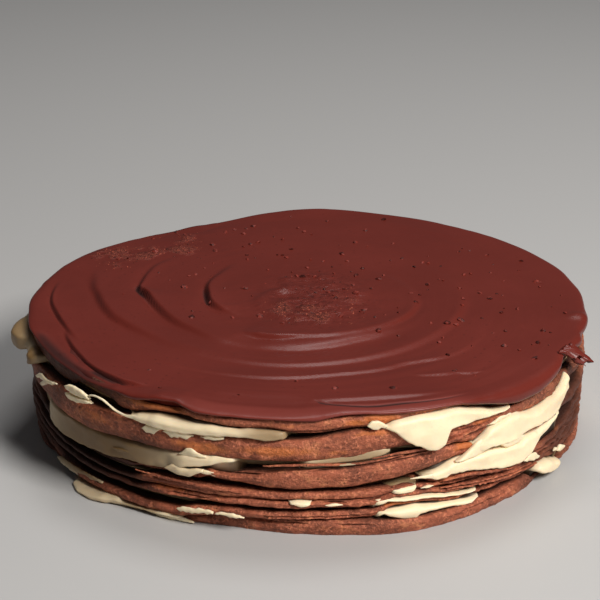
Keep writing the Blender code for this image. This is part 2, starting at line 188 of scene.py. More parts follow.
# Each filling's outer face, in millimetres: rows of azimuth, reach past the cake's side, low and
# high. A reach well under 0 leaves the slot open.
FILLINGS = (
    (
        (160, 1.0, 3.2, 5.6), (205, -5.0, 1.4, 2.6), (216.5, -3.0, 0.3, 0.8), (218, 0.8, 0.3, 0.8),
        (219.5, 1.8, 0.2, 1.1), (221.5, 3.2, 0.2, 1.5), (224.5, 3.6, 0.2, 2.0),
        (228, 2.4, 0.3, 2.8), (230.5, 1.0, 0.6, 2.8), (232.5, 0.2, 0.9, 2.2), (236, -0.4, 1.1, 2.1),
        (241, -0.4, 1.4, 2.4), (244.5, -0.8, 1.6, 2.6), (246.5, -4.0, 2.0, 3.0),
        (252, -5.0, 3.6, 5.0), (262, -8.0, 5.2, 6.0), (281.5, -8.0, 5.4, 6.2),
        (283.6, 0.1, 7.4, 8.0), (285.6, 0.9, 6.0, 8.1), (288.6, 1.3, 4.7, 8.7),
        (290.6, 1.4, 4.4, 8.8), (291.4, 1.2, 5.3, 8.5), (293.6, 0.9, 5.4, 7.7),
        (297.5, 0.6, 5.6, 7.2), (300.5, 0.7, 4.8, 6.5), (302.5, 0.6, 4.7, 6.2),
        (304.5, 0.0, 5.7, 6.3), (306, -6.0, 5.0, 6.0), (320.8, -6.0, 4.8, 6.2),
        (321.5, 0.2, 5.0, 6.4), (322.6, 1.2, 3.9, 7.4), (325, 1.7, 2.7, 7.3),
        (327.6, 1.8, 1.9, 6.0), (329.8, 1.5, 1.6, 4.6), (331.2, 0.5, 1.8, 3.4),
        (332, -2.5, 2.0, 3.4), (342, -4.0, 3.0, 5.0),
    ),
    (
        (160, -1.0, 8.8, 10.0), (205, -6.0, 6.0, 7.2), (228.5, -6.0, 5.6, 7.2),
        (281, -6.0, 8.2, 9.6), (283.3, 0.1, 11.6, 12.2), (286.5, 0.4, 10.9, 12.0),
        (290, 0.8, 10.7, 11.9), (293, 0.8, 10.5, 11.6), (297, 0.7, 9.6, 10.4), (301, 0.6, 8.8, 9.5),
        (303.5, 0.1, 8.8, 9.4), (305.5, -3.5, 8.7, 9.8), (345, -4.0, 8.5, 10.0),
    ),
    (
        (160, -1.5, 12.8, 13.2), (205, -5.0, 9.5, 10.1), (255, -5.0, 11.8, 12.3),
        (266, -4.0, 11.9, 12.5), (267.2, 0.4, 12.0, 13.0), (269, 0.8, 11.5, 13.2),
        (270.4, 0.5, 11.7, 13.0), (271.4, -3.0, 12.1, 12.7), (345, -4.0, 12.3, 13.0),
    ),
    (
        (160, -2.0, 15.9, 16.7), (205, -6.0, 12.1, 12.6), (284.5, -6.0, 15.3, 15.8),
        (286.4, 0.0, 13.8, 14.6), (287.8, 0.5, 13.5, 15.2), (289.4, 0.5, 13.5, 15.0),
        (290.6, 0.0, 13.9, 14.5), (291.6, -4.0, 15.2, 15.8), (345, -4.0, 15.4, 16.4),
    ),
    (
        (160, -1.0, 19.2, 20.6), (205, -8.0, 14.4, 14.8), (252, -9.0, 16.8, 18.8),
        (291.6, -9.0, 17.4, 18.4), (292.2, 0.2, 17.8, 18.6), (293.4, 0.7, 17.6, 19.2),
        (295, 0.9, 16.6, 20.0), (296.6, 1.1, 16.5, 21.0), (297.6, 1.2, 17.5, 21.8),
        (299.5, 1.4, 17.4, 22.6), (303.2, 1.6, 16.9, 22.5), (307.1, 1.6, 15.6, 22.8),
        (309.8, 1.6, 14.3, 22.1), (311, 1.6, 14.0, 21.8), (313, 1.6, 13.8, 21.7),
        (314.4, 1.6, 14.0, 21.2), (316.2, 1.5, 14.6, 22.4), (318.2, 1.5, 15.7, 22.4),
        (319.6, 1.5, 17.6, 22.3), (321.2, 1.4, 19.1, 22.5), (324.2, 1.2, 19.9, 22.9),
        (327.3, 0.9, 21.1, 22.7), (329.2, 0.3, 22.4, 23.0), (331, -2.5, 21.0, 22.6),
        (345, -4.0, 19.4, 20.6),
    ),
    (
        (160, -1.5, 25.2, 28.2), (202, -5.0, 17.0, 24.4), (205.2, -3.2, 17.6, 24.4),
        (206.8, -1.7, 17.2, 24.5), (210, -1.3, 16.0, 24.6), (214, -1.3, 15.4, 24.7),
        (219, -1.3, 15.6, 24.8), (226.6, -1.3, 16.8, 25.1), (232.5, -1.3, 17.7, 25.5),
        (239.5, -1.1, 18.6, 26.0), (243, -0.4, 19.2, 26.4), (245, 0.4, 20.2, 26.6),
        (247, 0.7, 22.1, 26.9), (249, 0.6, 22.8, 26.9), (251, 0.4, 23.5, 27.0),
        (253, 0.1, 24.5, 27.2), (255.5, -0.4, 25.5, 27.0), (257, -2.0, 25.6, 26.8),
        (258.5, -6.0, 23.0, 26.6), (267.5, -6.0, 24.2, 27.0), (268.8, -3.0, 26.4, 27.0),
        (270.4, -1.0, 26.4, 27.4), (273.5, -0.6, 26.5, 28.0), (277, -0.6, 26.8, 28.9),
        (281, -0.6, 27.3, 30.2), (284, -0.8, 28.0, 30.4), (285.4, -1.6, 28.6, 30.0),
        (286.8, -5.0, 28.2, 29.6), (302, -5.0, 24.4, 25.2), (302.9, 1.0, 23.5, 26.8),
        (304.2, 1.6, 23.5, 28.2), (306.1, 1.8, 23.8, 30.6), (308, 1.8, 23.8, 31.8),
        (309.8, 1.8, 23.6, 32.2), (311, 1.8, 23.2, 32.8), (313, 1.8, 23.2, 32.9),
        (314.6, 1.8, 24.2, 31.8), (317.5, 1.8, 24.6, 30.7), (320.2, 1.8, 24.6, 30.6),
        (323.5, 1.7, 24.2, 31.0), (325.4, 1.6, 24.4, 31.4), (326.8, 1.6, 25.2, 31.9),
        (328.5, 1.5, 27.4, 32.4), (330.2, 1.3, 30.0, 33.6), (331.2, 1.2, 31.0, 34.8),
        (331.9, 1.0, 31.6, 35.6), (332.3, 0.4, 33.0, 35.4), (332.8, -3.0, 33.0, 34.6),
        (346, -5.0, 25.6, 28.6),
    ),
    (
        (120, 0.4, 34.4, 36.4), (172, 0.8, 35.2, 37.4), (180, 2.6, 34.6, 38.4),
        (184, 4.2, 33.6, 39.0), (188, 4.9, 32.8, 39.2), (191, 3.6, 33.0, 39.0),
        (193.5, 0.6, 34.4, 38.4), (196.5, 0.4, 34.2, 38.0), (198.8, 1.7, 32.8, 37.6),
        (200.2, 1.0, 33.2, 37.0), (201.4, -1.5, 34.4, 37.0), (202.4, -5.0, 34.8, 37.2),
        (216, -7.0, 35.2, 38.0), (224, -7.0, 35.0, 38.2), (230, -7.0, 35.4, 37.6),
        (234.6, -3.0, 35.0, 35.8), (235.6, 0.2, 34.9, 36.0), (237.2, 0.9, 34.7, 37.0),
        (239.4, 1.1, 34.5, 37.6), (241.5, 1.2, 34.3, 38.0), (245, 1.2, 34.2, 38.1),
        (250, 1.2, 34.6, 38.0), (253.5, 1.1, 34.9, 38.2), (256.3, 0.8, 35.4, 38.0),
        (260.2, 0.5, 35.1, 38.3), (264, 0.3, 34.9, 38.0), (265.8, -0.3, 35.3, 37.7),
        (267, -5.0, 35.2, 36.9), (276, -6.0, 36.6, 37.4), (283.2, -5.0, 38.2, 39.6),
        (284.4, 0.4, 37.9, 38.9), (285.8, 1.2, 36.8, 40.0), (287.2, 1.6, 34.6, 40.6),
        (289, 1.8, 32.2, 41.0), (291, 1.9, 30.1, 41.2), (292.9, 1.9, 28.6, 41.2),
        (294.4, 1.9, 28.1, 41.2), (295.7, 1.8, 29.4, 41.2), (296.4, 1.7, 32.2, 41.2),
        (297, 1.5, 34.3, 41.2), (298.5, 1.3, 34.7, 41.1), (300.5, 1.3, 34.8, 40.2),
        (304.4, 1.2, 34.9, 38.5), (308.4, 1.0, 35.1, 36.3), (311, 0.5, 35.3, 36.4),
        (312.6, -3.0, 36.1, 37.1), (346, -4.0, 35.8, 36.8),
    ),
)

# Loose patches of cream pressed on the side, in millimetres: how far each stands out past the
# side, how frayed its edge is, then its outline as rows of azimuth, low and high.
CREAM_PATCHES = (
    (1.1, 0.15, (
        (217.4, 36.8, 37.1), (218.6, 35.9, 38.2), (220.5, 35.6, 38.6), (222.5, 35.8, 38.3),
        (224.2, 36.2, 37.6), (225.2, 36.5, 36.9),
    )),
    (1.4, 0.25, (
        (217.4, 34.3, 34.6), (219.0, 33.4, 35.3), (221.0, 33.2, 35.2), (223.0, 34.0, 35.6),
        (225.0, 34.9, 35.9), (226.0, 35.4, 35.8),
    )),
    (0.4, 0.05, (
        (223.6, 36.2, 36.8), (225.2, 37.6, 38.2), (226.8, 38.2, 38.7), (228.4, 38.0, 38.6),
        (230.2, 36.9, 37.5), (232.0, 35.7, 36.3), (234.2, 35.0, 35.7), (236.5, 35.0, 36.4),
        (238.0, 35.6, 36.2),
    )),
    (0.5, 0.30, (
        (202.0, 30.2, 30.5), (204.0, 31.0, 32.6), (206.0, 31.8, 33.7), (208.0, 32.0, 33.5),
        (210.0, 32.8, 33.8), (212.0, 33.6, 34.7), (213.6, 34.8, 35.2),
    )),
    (0.4, 0.25, (
        (204.4, 29.2, 29.4), (205.6, 29.2, 30.6), (207.0, 30.2, 32.2), (208.4, 31.4, 32.4),
    )),
    (0.5, 0.45, (
        (238.2, 32.4, 32.7), (239.3, 31.6, 34.2), (240.4, 31.5, 34.4), (241.6, 32.8, 34.4),
        (242.4, 33.6, 34.0),
    )),
    (0.5, 0.45, (
        (242.8, 33.2, 33.6), (244.4, 32.0, 34.4), (246.0, 32.1, 34.4), (247.6, 32.5, 34.4),
        (249.0, 33.4, 34.0),
    )),
    (0.4, 0.35, (
        (250.4, 33.7, 34.0), (252.0, 33.3, 34.8), (253.6, 33.4, 34.8), (254.9, 34.2, 34.6),
    )),
    (1.2, 0.15, (
        (243.0, 20.3, 20.8), (244.6, 19.4, 22.2), (246.2, 18.9, 21.9), (247.8, 18.8, 21.6),
        (249.2, 20.0, 22.2), (250.8, 21.3, 22.2),
    )),
    (0.3, 0.30, (
        (245.8, 26.0, 26.6), (247.4, 25.8, 28.6), (248.4, 25.8, 29.4), (249.6, 26.2, 28.0),
        (251.4, 26.6, 27.0),
    )),
    (-0.2, 0.30, (
        (249.4, 20.9, 21.5), (251.0, 20.4, 21.7), (252.6, 20.2, 21.2), (254.0, 20.3, 20.6),
    )),
    (-0.8, 0.25, (
        (229.8, 20.7, 21.1), (231.6, 20.5, 21.7), (233.4, 20.9, 21.9), (234.8, 21.4, 21.6),
    )),
    (0.1, 0.10, (
        (274.4, 26.0, 26.3), (277.0, 25.8, 26.5), (280.6, 26.1, 26.4),
    )),
    (0.9, 0.35, (
        (280.9, 39.7, 40.2), (281.8, 38.4, 41.3), (282.9, 38.3, 41.0), (283.8, 38.5, 40.2),
        (284.6, 38.8, 39.3),
    )),
    (0.6, 0.40, (
        (245.0, 5.7, 6.0), (246.2, 5.2, 7.2), (248.2, 5.3, 7.0), (249.6, 5.8, 7.5),
        (251.2, 6.0, 7.4), (252.4, 6.4, 6.9),
    )),
    (0.5, 0.30, (
        (252.8, 6.4, 6.8), (254.4, 6.1, 7.4), (256.4, 6.0, 7.2), (258.4, 6.0, 6.4),
    )),
    (0.4, 0.20, (
        (273.4, 11.5, 11.8), (275.0, 11.3, 12.4), (276.6, 11.6, 11.9),
    )),
    (0.4, 0.20, (
        (291.6, 14.4, 14.6), (293.0, 14.2, 15.2), (294.2, 14.5, 14.8),
    )),
    (0.6, 0.05, (
        (289.4, 18.6, 18.8), (290.8, 18.4, 18.9), (292.4, 18.0, 19.0), (294.0, 17.8, 19.3),
    )),
    (0.7, 0.45, (
        (316.6, 12.3, 12.8), (318.2, 11.4, 13.8), (319.8, 10.8, 13.6), (321.0, 10.6, 12.4),
        (321.8, 10.8, 11.3),
    )),
    (0.6, 0.35, (
        (327.9, 8.6, 8.9), (328.8, 8.1, 9.4), (329.8, 8.5, 8.8),
    )),
    (0.8, 0.40, (
        (329.6, 7.4, 7.7), (330.8, 6.6, 8.8), (332.0, 6.0, 8.2), (333.0, 6.7, 7.3),
    )),
    (-1.4, 0.25, (
        (239.6, 0.2, 0.6), (241.6, 0.2, 2.0), (244.0, 0.2, 2.4), (246.0, 0.3, 1.9),
        (248.0, 0.6, 1.1),
    )),
    (0.3, 0.30, (
        (305.4, 31.6, 31.9), (307.4, 31.4, 32.6), (309.4, 32.0, 33.4), (311.6, 32.8, 33.4),
    )),
    (1.5, 0.08, (
        (298.4, 21.9, 22.2), (300.2, 21.7, 23.6), (301.8, 21.8, 25.4), (303.4, 22.2, 27.4),
        (305.2, 23.0, 28.0), (307.0, 24.2, 26.6),
    )),
    (1.5, 0.15, (
        (309.4, 22.4, 23.4), (310.6, 21.2, 25.2), (312.4, 21.0, 25.6), (314.0, 21.4, 25.2),
        (315.2, 22.6, 23.6),
    )),
    (-1.2, 0.30, (
        (208.6, 3.4, 3.9), (211.0, 2.6, 5.2), (215.0, 2.6, 5.6), (219.0, 3.2, 5.6),
        (223.0, 4.2, 5.8), (226.0, 5.0, 5.6),
    )),
    (0.8, 0.40, (
        (26.0, 19.0, 19.4), (29.0, 18.2, 21.0), (32.0, 18.8, 20.6), (34.0, 19.4, 19.8),
    )),
    (0.8, 0.40, (
        (62.0, 33.4, 33.8), (65.0, 32.4, 35.2), (69.0, 32.8, 34.6), (71.0, 33.6, 34.0),
    )),
    (0.8, 0.40, (
        (101.0, 9.6, 10.0), (104.0, 8.4, 11.6), (107.0, 9.4, 11.2), (109.0, 10.2, 10.5),
    )),
    (0.8, 0.40, (
        (136.0, 26.8, 27.2), (139.0, 25.6, 28.6), (143.0, 26.4, 28.2), (145.0, 27.2, 27.6),
    )),
    (0.8, 0.40, (
        (160.0, 14.8, 15.2), (163.0, 13.8, 16.2), (166.0, 14.6, 15.8), (168.0, 15.0, 15.4),
    )),
)

# Torn strands of crepe, in the same form.
CREPE_STRANDS = (
    (0.1, 0.10, (
        (262.0, 25.3, 25.7), (266.0, 25.7, 26.5), (272.0, 26.0, 26.8), (278.0, 25.8, 26.5),
        (284.0, 26.6, 27.2), (288.0, 27.4, 27.7),
    )),
    (0.3, 0.10, (
        (282.0, 27.6, 28.0), (287.0, 28.1, 28.9), (292.0, 28.2, 29.0), (297.0, 28.8, 29.6),
        (301.5, 29.8, 30.2),
    )),
    (1.0, 0.30, (
        (296.0, 29.7, 30.0), (299.0, 30.2, 31.1), (302.0, 31.2, 32.2), (305.0, 32.3, 33.2),
        (307.6, 33.4, 33.8),
    )),
    (0.9, 0.25, (
        (295.6, 13.1, 13.5), (301.0, 12.3, 13.0), (307.0, 11.2, 11.9), (313.0, 10.4, 11.0),
        (319.0, 10.2, 10.5),
    )),
    (1.0, 0.25, (
        (297.0, 11.9, 12.3), (303.0, 10.9, 11.6), (309.0, 9.8, 10.5), (315.0, 9.2, 9.8),
        (321.0, 8.9, 9.2),
    )),
    (1.2, 0.20, (
        (296.0, 15.6, 15.9), (300.0, 15.6, 16.6), (305.0, 14.4, 15.5), (310.0, 13.0, 13.9),
        (314.0, 12.2, 12.6),
    )),
    (0.3, 0.25, (
        (236.0, 16.2, 16.5), (243.0, 15.8, 16.8), (251.0, 15.4, 16.4), (258.0, 15.2, 15.6),
    )),
)

# Toasted or glazed places on the crepes: azimuth, height in mm, half spans in degrees and mm, and
# how strong each is.
TOASTED = (
    (283.5, 41.2, 4.5, 2.4, 1.0),
    (279.0, 40.2, 2.5, 1.6, 0.9),
    (293.0, 42.4, 8.0, 0.8, 0.9),
    (240.0, 40.4, 9.0, 1.4, 1.0),
    (248.4, 29.0, 1.8, 2.6, 1.0),
    (224.0, 29.5, 8.0, 2.4, 0.5),
    (227.0, 31.0, 6.0, 2.2, 0.7),
    (250.0, 30.0, 8.5, 3.0, 0.8),
    (264.0, 31.0, 9.0, 2.6, 0.8),
    (212.0, 28.0, 3.0, 3.0, 0.3),
    (282.0, 36.6, 6.0, 1.4, 0.7),
    (275.0, 30.6, 8.0, 1.6, 0.5),
    (268.0, 40.0, 8.0, 1.2, 0.5),
    (301.0, 26.0, 4.0, 2.2, 0.8),
    (305.0, 33.5, 5.0, 1.4, 0.6),
    (243.0, 12.6, 7.0, 1.6, 0.7),
    (262.0, 13.2, 9.0, 1.2, 0.5),
    (287.0, 10.0, 5.0, 1.0, 0.8),
    (299.0, 15.2, 5.0, 0.9, 0.6),
    (274.0, 3.0, 12.0, 1.6, 0.4),
    (312.0, 36.0, 12.0, 1.2, 0.5),
    (330.0, 16.0, 5.0, 4.0, 0.4),
)

# Where shade is painted on the cream's colour, in recessed and overhung places, in the same form.
CREAM_SHADE = (
    (225.5, 20.5, 20.5, 9.0, 0.96),
    (226.0, 2.0, 10.0, 5.0, 0.35),
    (184.0, 36.0, 14.0, 9.0, 0.92),
    (199.0, 35.0, 3.2, 8.0, 0.97),
    (216.0, 6.4, 12.0, 3.2, 0.92),
    (236.0, 1.6, 5.0, 1.6, 0.75),
    (278.0, 28.6, 9.0, 3.2, 0.75),
    (265.5, 36.6, 7.5, 4.5, 0.80),
    (327.0, 31.0, 8.0, 6.0, 0.14),
)

# Where shade is painted on the crepes' colour, at the shaded ends and under the rim, in the
# same form.
CREPE_SHADE = (
    (193.0, 14.0, 15.0, 15.0, 0.85),
    (219.0, 12.0, 19.5, 7.6, 0.97),
    (336.0, 19.0, 14.5, 18.0, 0.84),
    (322.0, 38.5, 22.0, 3.4, 0.75),
    (214.0, 39.0, 20.0, 5.0, 0.55),
    (207.0, 29.5, 9.0, 6.0, 0.50),
    (236.0, 26.4, 17.0, 2.8, 0.50),
    (284.0, 2.4, 26.0, 3.6, 0.20),
    (328.0, 6.0, 14.0, 8.0, 0.65),
    (318.0, 35.5, 13.0, 3.0, 0.50),
)

# Spans round the cake, in degrees: start, end and softness. In them the crepes' edges are torn,
# worn, worn low down, or sunk with painted shade, the ganache's lip has a painted sheen, and
# the knife's marks are strongest.
TORN_SPAN = (298.0, 348.0, 10.0)
WORN_SPAN = (234.0, 262.0, 8.0)
LOW_WORN_SPAN = (234.0, 292.0, 8.0)
SUNK_SPAN = (150.0, 246.0, 8.0)
SHEEN_SPAN = (248.0, 300.0, 6.0)
KNIFE_SPAN = (235.0, 335.0, 50.0)
SLIT_SOFTNESS = 3.0

# Round the back, edges and fillings go on in the same uneven way.
BACK_SPAN = (352.0, 178.0, 16.0)
CREPE_WAVE = 0.0009
CREPE_INSET_WAVE = 0.0009
LONGEST_DRIP = 0.0021
BACK_SWELL = ((0.030, 1.0, 140), (0.012, 0.6, 160))

# Unevenness on the side: rows of patch size and depth, in metres, and seed.
EDGE_LIFT = ((0.011, 0.00022, 70), (0.004, 0.00013, 90))
EDGE_REACH = ((0.016, 0.00025, 110),)
CREAM_LUMPS = ((0.0080, 0.00034, 300), (0.0034, 0.00018, 320))
PATCH_LUMPS = ((0.0026, 0.00022, 2), (0.0011, 0.00010, 3))

# The fray of the cream's lower edge: rows of patch size, weight and seed.
CREAM_FRAY = ((0.0030, 1.0, 240), (0.0014, 0.7, 260))

# Lumps of a crepe's edge: rows of patch size, depth, what a crumbly edge adds to it, and seed.
CREPE_RELIEF = (
    (0.0130, 0.00030, 0.0, 10),
    (0.0050, 0.00020, 0.0, 30),
    (0.0021, 0.00011, 0.00026, 50),
    (0.0012, 0.00006, 0.00016, 60),
)

# The depth of a crepe's ledges, and what a crumbly edge adds to it.
CREPE_LEDGES = (0.00016, 0.00020)

# The ganache's rim, in millimetres: rows of azimuth, lower edge, top, reach and lip width.
RIM = (
    (5, 40.8, 43.6, 0.2, 3.4), (25, 40.6, 43.9, 1.2, 3.4), (50, 40.6, 44.0, 1.4, 3.2),
    (72, 41.0, 44.4, 1.6, 3.0), (86, 41.4, 45.0, 2.0, 3.0), (100, 40.4, 43.8, 0.4, 3.2),
    (110, 39.4, 42.4, -1.8, 3.4), (120, 38.8, 41.8, -2.4, 3.4), (132, 39.2, 42.2, -1.8, 3.4),
    (150, 40.6, 43.2, -0.9, 3.2), (175, 40.8, 43.4, -1.0, 3.2), (192, 41.0, 42.9, -1.6, 3.4),
    (200, 41.4, 42.6, -2.6, 5.4), (208, 41.8, 42.6, -2.8, 5.6), (215, 42.2, 42.8, -2.9, 4.6),
    (221, 42.4, 43.0, -3.0, 3.8), (226, 42.5, 43.2, -2.9, 3.4), (231, 41.8, 43.3, -2.0, 3.2),
    (235.5, 41.4, 43.6, -1.1, 3.2), (238.5, 42.4, 44.2, -1.2, 2.6), (241.5, 43.4, 44.9, -1.5, 2.2),
    (244.5, 43.5, 44.8, -2.0, 2.2), (247, 42.8, 44.2, -1.0, 2.8), (249.5, 42.2, 43.9, 0.1, 5.0),
    (254, 42.2, 43.8, 0.2, 7.4), (262, 42.1, 43.8, 0.2, 8.0), (268, 42.1, 43.9, 0.3, 7.4),
    (271.5, 42.0, 44.2, 0.1, 5.4), (274, 42.8, 44.6, -0.3, 3.4), (277, 43.4, 45.0, -0.6, 2.8),
    (280, 43.5, 45.0, -0.5, 2.8), (284, 43.0, 44.7, 0.1, 3.0), (292, 42.8, 44.5, 0.5, 3.2),
    (298, 42.6, 44.2, 0.7, 3.2), (302, 41.2, 43.8, 1.0, 3.6), (306, 39.6, 43.2, 1.3, 4.0),
    (310, 37.8, 42.9, 1.6, 4.6), (314, 36.8, 42.7, 1.7, 5.0), (318, 36.8, 42.6, 1.7, 5.0),
    (321, 37.4, 42.7, 1.6, 4.6), (324, 38.1, 42.9, 1.3, 4.0), (327, 39.2, 43.1, 0.6, 3.6),
    (329.5, 40.4, 43.2, -0.6, 3.4), (332, 40.8, 43.3, -1.8, 3.2), (335, 40.5, 43.3, -2.1, 3.2),
    (338, 40.1, 43.3, -1.2, 3.2), (341, 39.7, 43.3, -0.3, 3.2), (344.5, 39.6, 43.3, -1.2, 3.2),
    (348, 39.8, 43.5, -0.4, 3.2), (351.5, 40.0, 44.0, 0.1, 3.2), (356, 40.4, 43.8, -0.5, 3.4),
)

# The spread swirl: each line where the surface falls outwards, as rows of azimuth, radius as a
# share of the top radius, fall in millimetres and half width as a share of the top radius.
SWIRL = (
    (
        (166, 0.930, 0.0, 0.010), (174, 0.922, 0.9, 0.007), (180, 0.910, 1.3, 0.007),
        (187, 0.886, 1.4, 0.007), (194, 0.868, 1.1, 0.008), (200, 0.860, 0.6, 0.010),
        (206, 0.856, 0.0, 0.012),
    ),
    (
        (218, 0.735, 0.0, 0.012), (235, 0.726, 0.3, 0.010), (250, 0.716, 0.5, 0.009),
        (258, 0.710, 0.7, 0.008), (265, 0.701, 0.8, 0.008), (272, 0.687, 0.8, 0.008),
        (278, 0.676, 0.8, 0.008), (285, 0.671, 0.8, 0.008), (293, 0.665, 0.8, 0.008),
        (300, 0.656, 0.8, 0.008), (305, 0.665, 0.7, 0.008), (309, 0.680, 0.7, 0.008),
        (313, 0.690, 0.5, 0.009), (320, 0.695, 0.4, 0.010), (328, 0.690, 0.2, 0.012),
        (338, 0.684, 0.0, 0.014),
    ),
    (
        (156, 0.850, 0.0, 0.030), (164, 0.815, 0.9, 0.022), (170, 0.785, 1.5, 0.018),
        (176, 0.752, 1.9, 0.016), (184, 0.722, 2.0, 0.017), (192, 0.695, 1.8, 0.020),
        (200, 0.660, 1.5, 0.023), (212, 0.622, 1.0, 0.026), (225, 0.605, 0.6, 0.028),
        (240, 0.600, 0.6, 0.024), (255, 0.597, 0.8, 0.019), (270, 0.588, 1.0, 0.017),
        (285, 0.570, 1.1, 0.017), (300, 0.556, 1.0, 0.018), (318, 0.546, 0.9, 0.020),
        (335, 0.550, 0.9, 0.020), (350, 0.562, 0.8, 0.020), (366, 0.574, 0.6, 0.024),
        (385, 0.580, 0.3, 0.030), (405, 0.580, 0.0, 0.030),
    ),
    (
        (135, 0.686, 0.0, 0.016), (144, 0.682, 0.7, 0.014), (154, 0.655, 1.2, 0.012),
        (163, 0.630, 1.7, 0.009), (168, 0.622, 2.3, 0.006), (170, 0.602, 2.6, 0.007),
        (173, 0.580, 2.6, 0.009), (180, 0.552, 2.4, 0.011), (190, 0.524, 2.2, 0.014),
        (204, 0.500, 1.8, 0.018), (217, 0.482, 1.3, 0.022), (233, 0.476, 0.7, 0.026),
        (246, 0.462, 0.5, 0.028), (256, 0.448, 0.8, 0.024), (265, 0.442, 1.0, 0.020),
        (280, 0.422, 1.0, 0.020), (297, 0.404, 0.8, 0.020), (310, 0.402, 0.4, 0.022),
        (325, 0.402, 0.0, 0.024),
    ),
    (
        (120, 0.480, 0.0, 0.026), (131, 0.450, 0.6, 0.022), (140, 0.424, 1.0, 0.018),
        (150, 0.406, 1.4, 0.015), (160, 0.384, 2.1, 0.011), (170, 0.360, 2.6, 0.010),
        (180, 0.346, 2.6, 0.010), (190, 0.330, 2.0, 0.013), (200, 0.308, 1.1, 0.018),
        (210, 0.290, 0.4, 0.022), (218, 0.280, 0.0, 0.024),
    ),
    (
        (232, 0.378, 0.0, 0.020), (240, 0.386, 0.9, 0.013), (246, 0.384, 1.7, 0.010),
        (254, 0.380, 1.6, 0.010), (262, 0.370, 1.2, 0.011), (270, 0.364, 0.9, 0.012),
        (285, 0.366, 0.7, 0.014), (300, 0.366, 0.6, 0.015), (320, 0.376, 0.8, 0.014),
        (340, 0.392, 1.0, 0.014), (360, 0.400, 0.9, 0.015), (380, 0.396, 0.6, 0.018),
        (400, 0.390, 0.3, 0.024), (425, 0.390, 0.0, 0.030),
    ),
    (
        (225, 0.420, 0.0, 0.060), (245, 0.415, 1.0, 0.055), (270, 0.410, 1.4, 0.055),
        (300, 0.405, 1.4, 0.055), (325, 0.410, 0.9, 0.055), (350, 0.420, 0.0, 0.060),
    ),
    (
        (60, 0.170, 0.0, 0.020), (90, 0.150, 0.5, 0.020), (120, 0.145, 0.9, 0.016),
        (150, 0.165, 0.6, 0.020), (200, 0.190, 0.5, 0.022), (250, 0.205, 0.6, 0.018),
        (300, 0.195, 0.5, 0.022), (360, 0.185, 0.4, 0.022), (400, 0.180, 0.0, 0.022),
    ),
    (
        (196, 0.872, 0.0, 0.010), (202, 0.882, 0.9, 0.007), (207, 0.890, 1.3, 0.006),
        (213, 0.902, 1.4, 0.006), (218, 0.918, 1.7, 0.006), (223, 0.928, 2.0, 0.006),
        (229, 0.930, 1.8, 0.006), (233, 0.922, 1.0, 0.008), (237, 0.914, 0.0, 0.010),
    ),
    (
        (270, 0.885, 0.0, 0.020), (274, 0.885, 0.5, 0.018), (279, 0.890, 0.9, 0.018),
        (285, 0.893, 1.0, 0.018), (291, 0.902, 0.9, 0.018), (297, 0.915, 0.5, 0.018),
        (304, 0.920, 0.0, 0.020),
    ),
    (
        (296, 0.748, 0.0, 0.008), (300, 0.768, 0.5, 0.006), (304, 0.792, 0.6, 0.006),
        (307, 0.806, 0.3, 0.006), (310, 0.838, 0.5, 0.006), (314, 0.852, 0.0, 0.008),
    ),
)

# Thin creases in the spread top, sunk and darkened with painted shade: rows of azimuth, radius
# share, strength and half width share.
CREASES = (
    (
        (271, 0.878, 0.00, 0.006), (273, 0.896, 0.80, 0.006), (277, 0.926, 1.00, 0.007),
        (282, 0.948, 1.00, 0.008), (288, 0.945, 1.00, 0.008), (293, 0.956, 0.90, 0.006),
        (298, 0.963, 0.60, 0.005), (304, 0.963, 0.00, 0.005),
    ),
    (
        (200, 0.880, 0.00, 0.005), (207, 0.893, 0.30, 0.005), (213, 0.905, 0.40, 0.005),
        (218, 0.921, 0.70, 0.006), (223, 0.932, 0.90, 0.008), (229, 0.934, 0.80, 0.008),
        (234, 0.924, 0.00, 0.006),
    ),
    (
        (155, 0.400, 0.00, 0.008), (162, 0.384, 0.45, 0.010), (170, 0.364, 0.68, 0.011),
        (178, 0.352, 0.68, 0.011), (186, 0.340, 0.25, 0.010), (192, 0.332, 0.00, 0.009),
    ),
    (
        (162, 0.636, 0.00, 0.009), (168, 0.622, 0.80, 0.012), (171, 0.603, 0.80, 0.013),
        (176, 0.574, 0.42, 0.013), (186, 0.540, 0.25, 0.012), (198, 0.514, 0.00, 0.010),
    ),
    (
        (172, 0.928, 0.00, 0.004), (180, 0.914, 0.30, 0.004), (188, 0.888, 0.40, 0.004),
        (196, 0.870, 0.20, 0.004), (201, 0.864, 0.00, 0.004),
    ),
    (
        (192, 0.975, 0.00, 0.012), (199, 0.955, 0.60, 0.022), (208, 0.950, 0.70, 0.024),
        (218, 0.955, 0.70, 0.018), (228, 0.962, 0.40, 0.014), (237, 0.975, 0.00, 0.010),
    ),
)

# The top's height at the middle, the peak that the knife leaves there, and the peak's spread.
CENTRE_HEIGHT = 0.0438
CENTRE_PEAK = 0.0003
PEAK_SHARE = 0.06

# Fine marks of the knife: size across them, cells round the cake, depth and seed.
KNIFE_MARKS = ((0.0045, 14, 0.00010, 501), (0.0020, 22, 0.00006, 502))

# Dabs left by the knife near the middle: azimuth, radius share, spread share and height in mm.
DABS = (
    (114.0, 0.160, 0.026, 0.9),
    (130.0, 0.122, 0.020, 1.0),
    (108.0, 0.225, 0.022, 0.7),
    (75.0, 0.250, 0.028, 0.6),
    (62.0, 0.180, 0.024, 0.5),
    (205.0, 0.095, 0.034, 0.7),
    (150.0, 0.080, 0.026, -0.5),
    (330.0, 0.110, 0.038, 0.5),
    (350.0, 0.190, 0.030, -0.5),
    (20.0, 0.215, 0.028, 0.5),
    (285.0, 0.080, 0.028, -0.5),
    (255.0, 0.165, 0.026, 0.4),
    (310.0, 0.235, 0.026, 0.4),
    (351.0, 0.960, 0.028, 0.7),
)

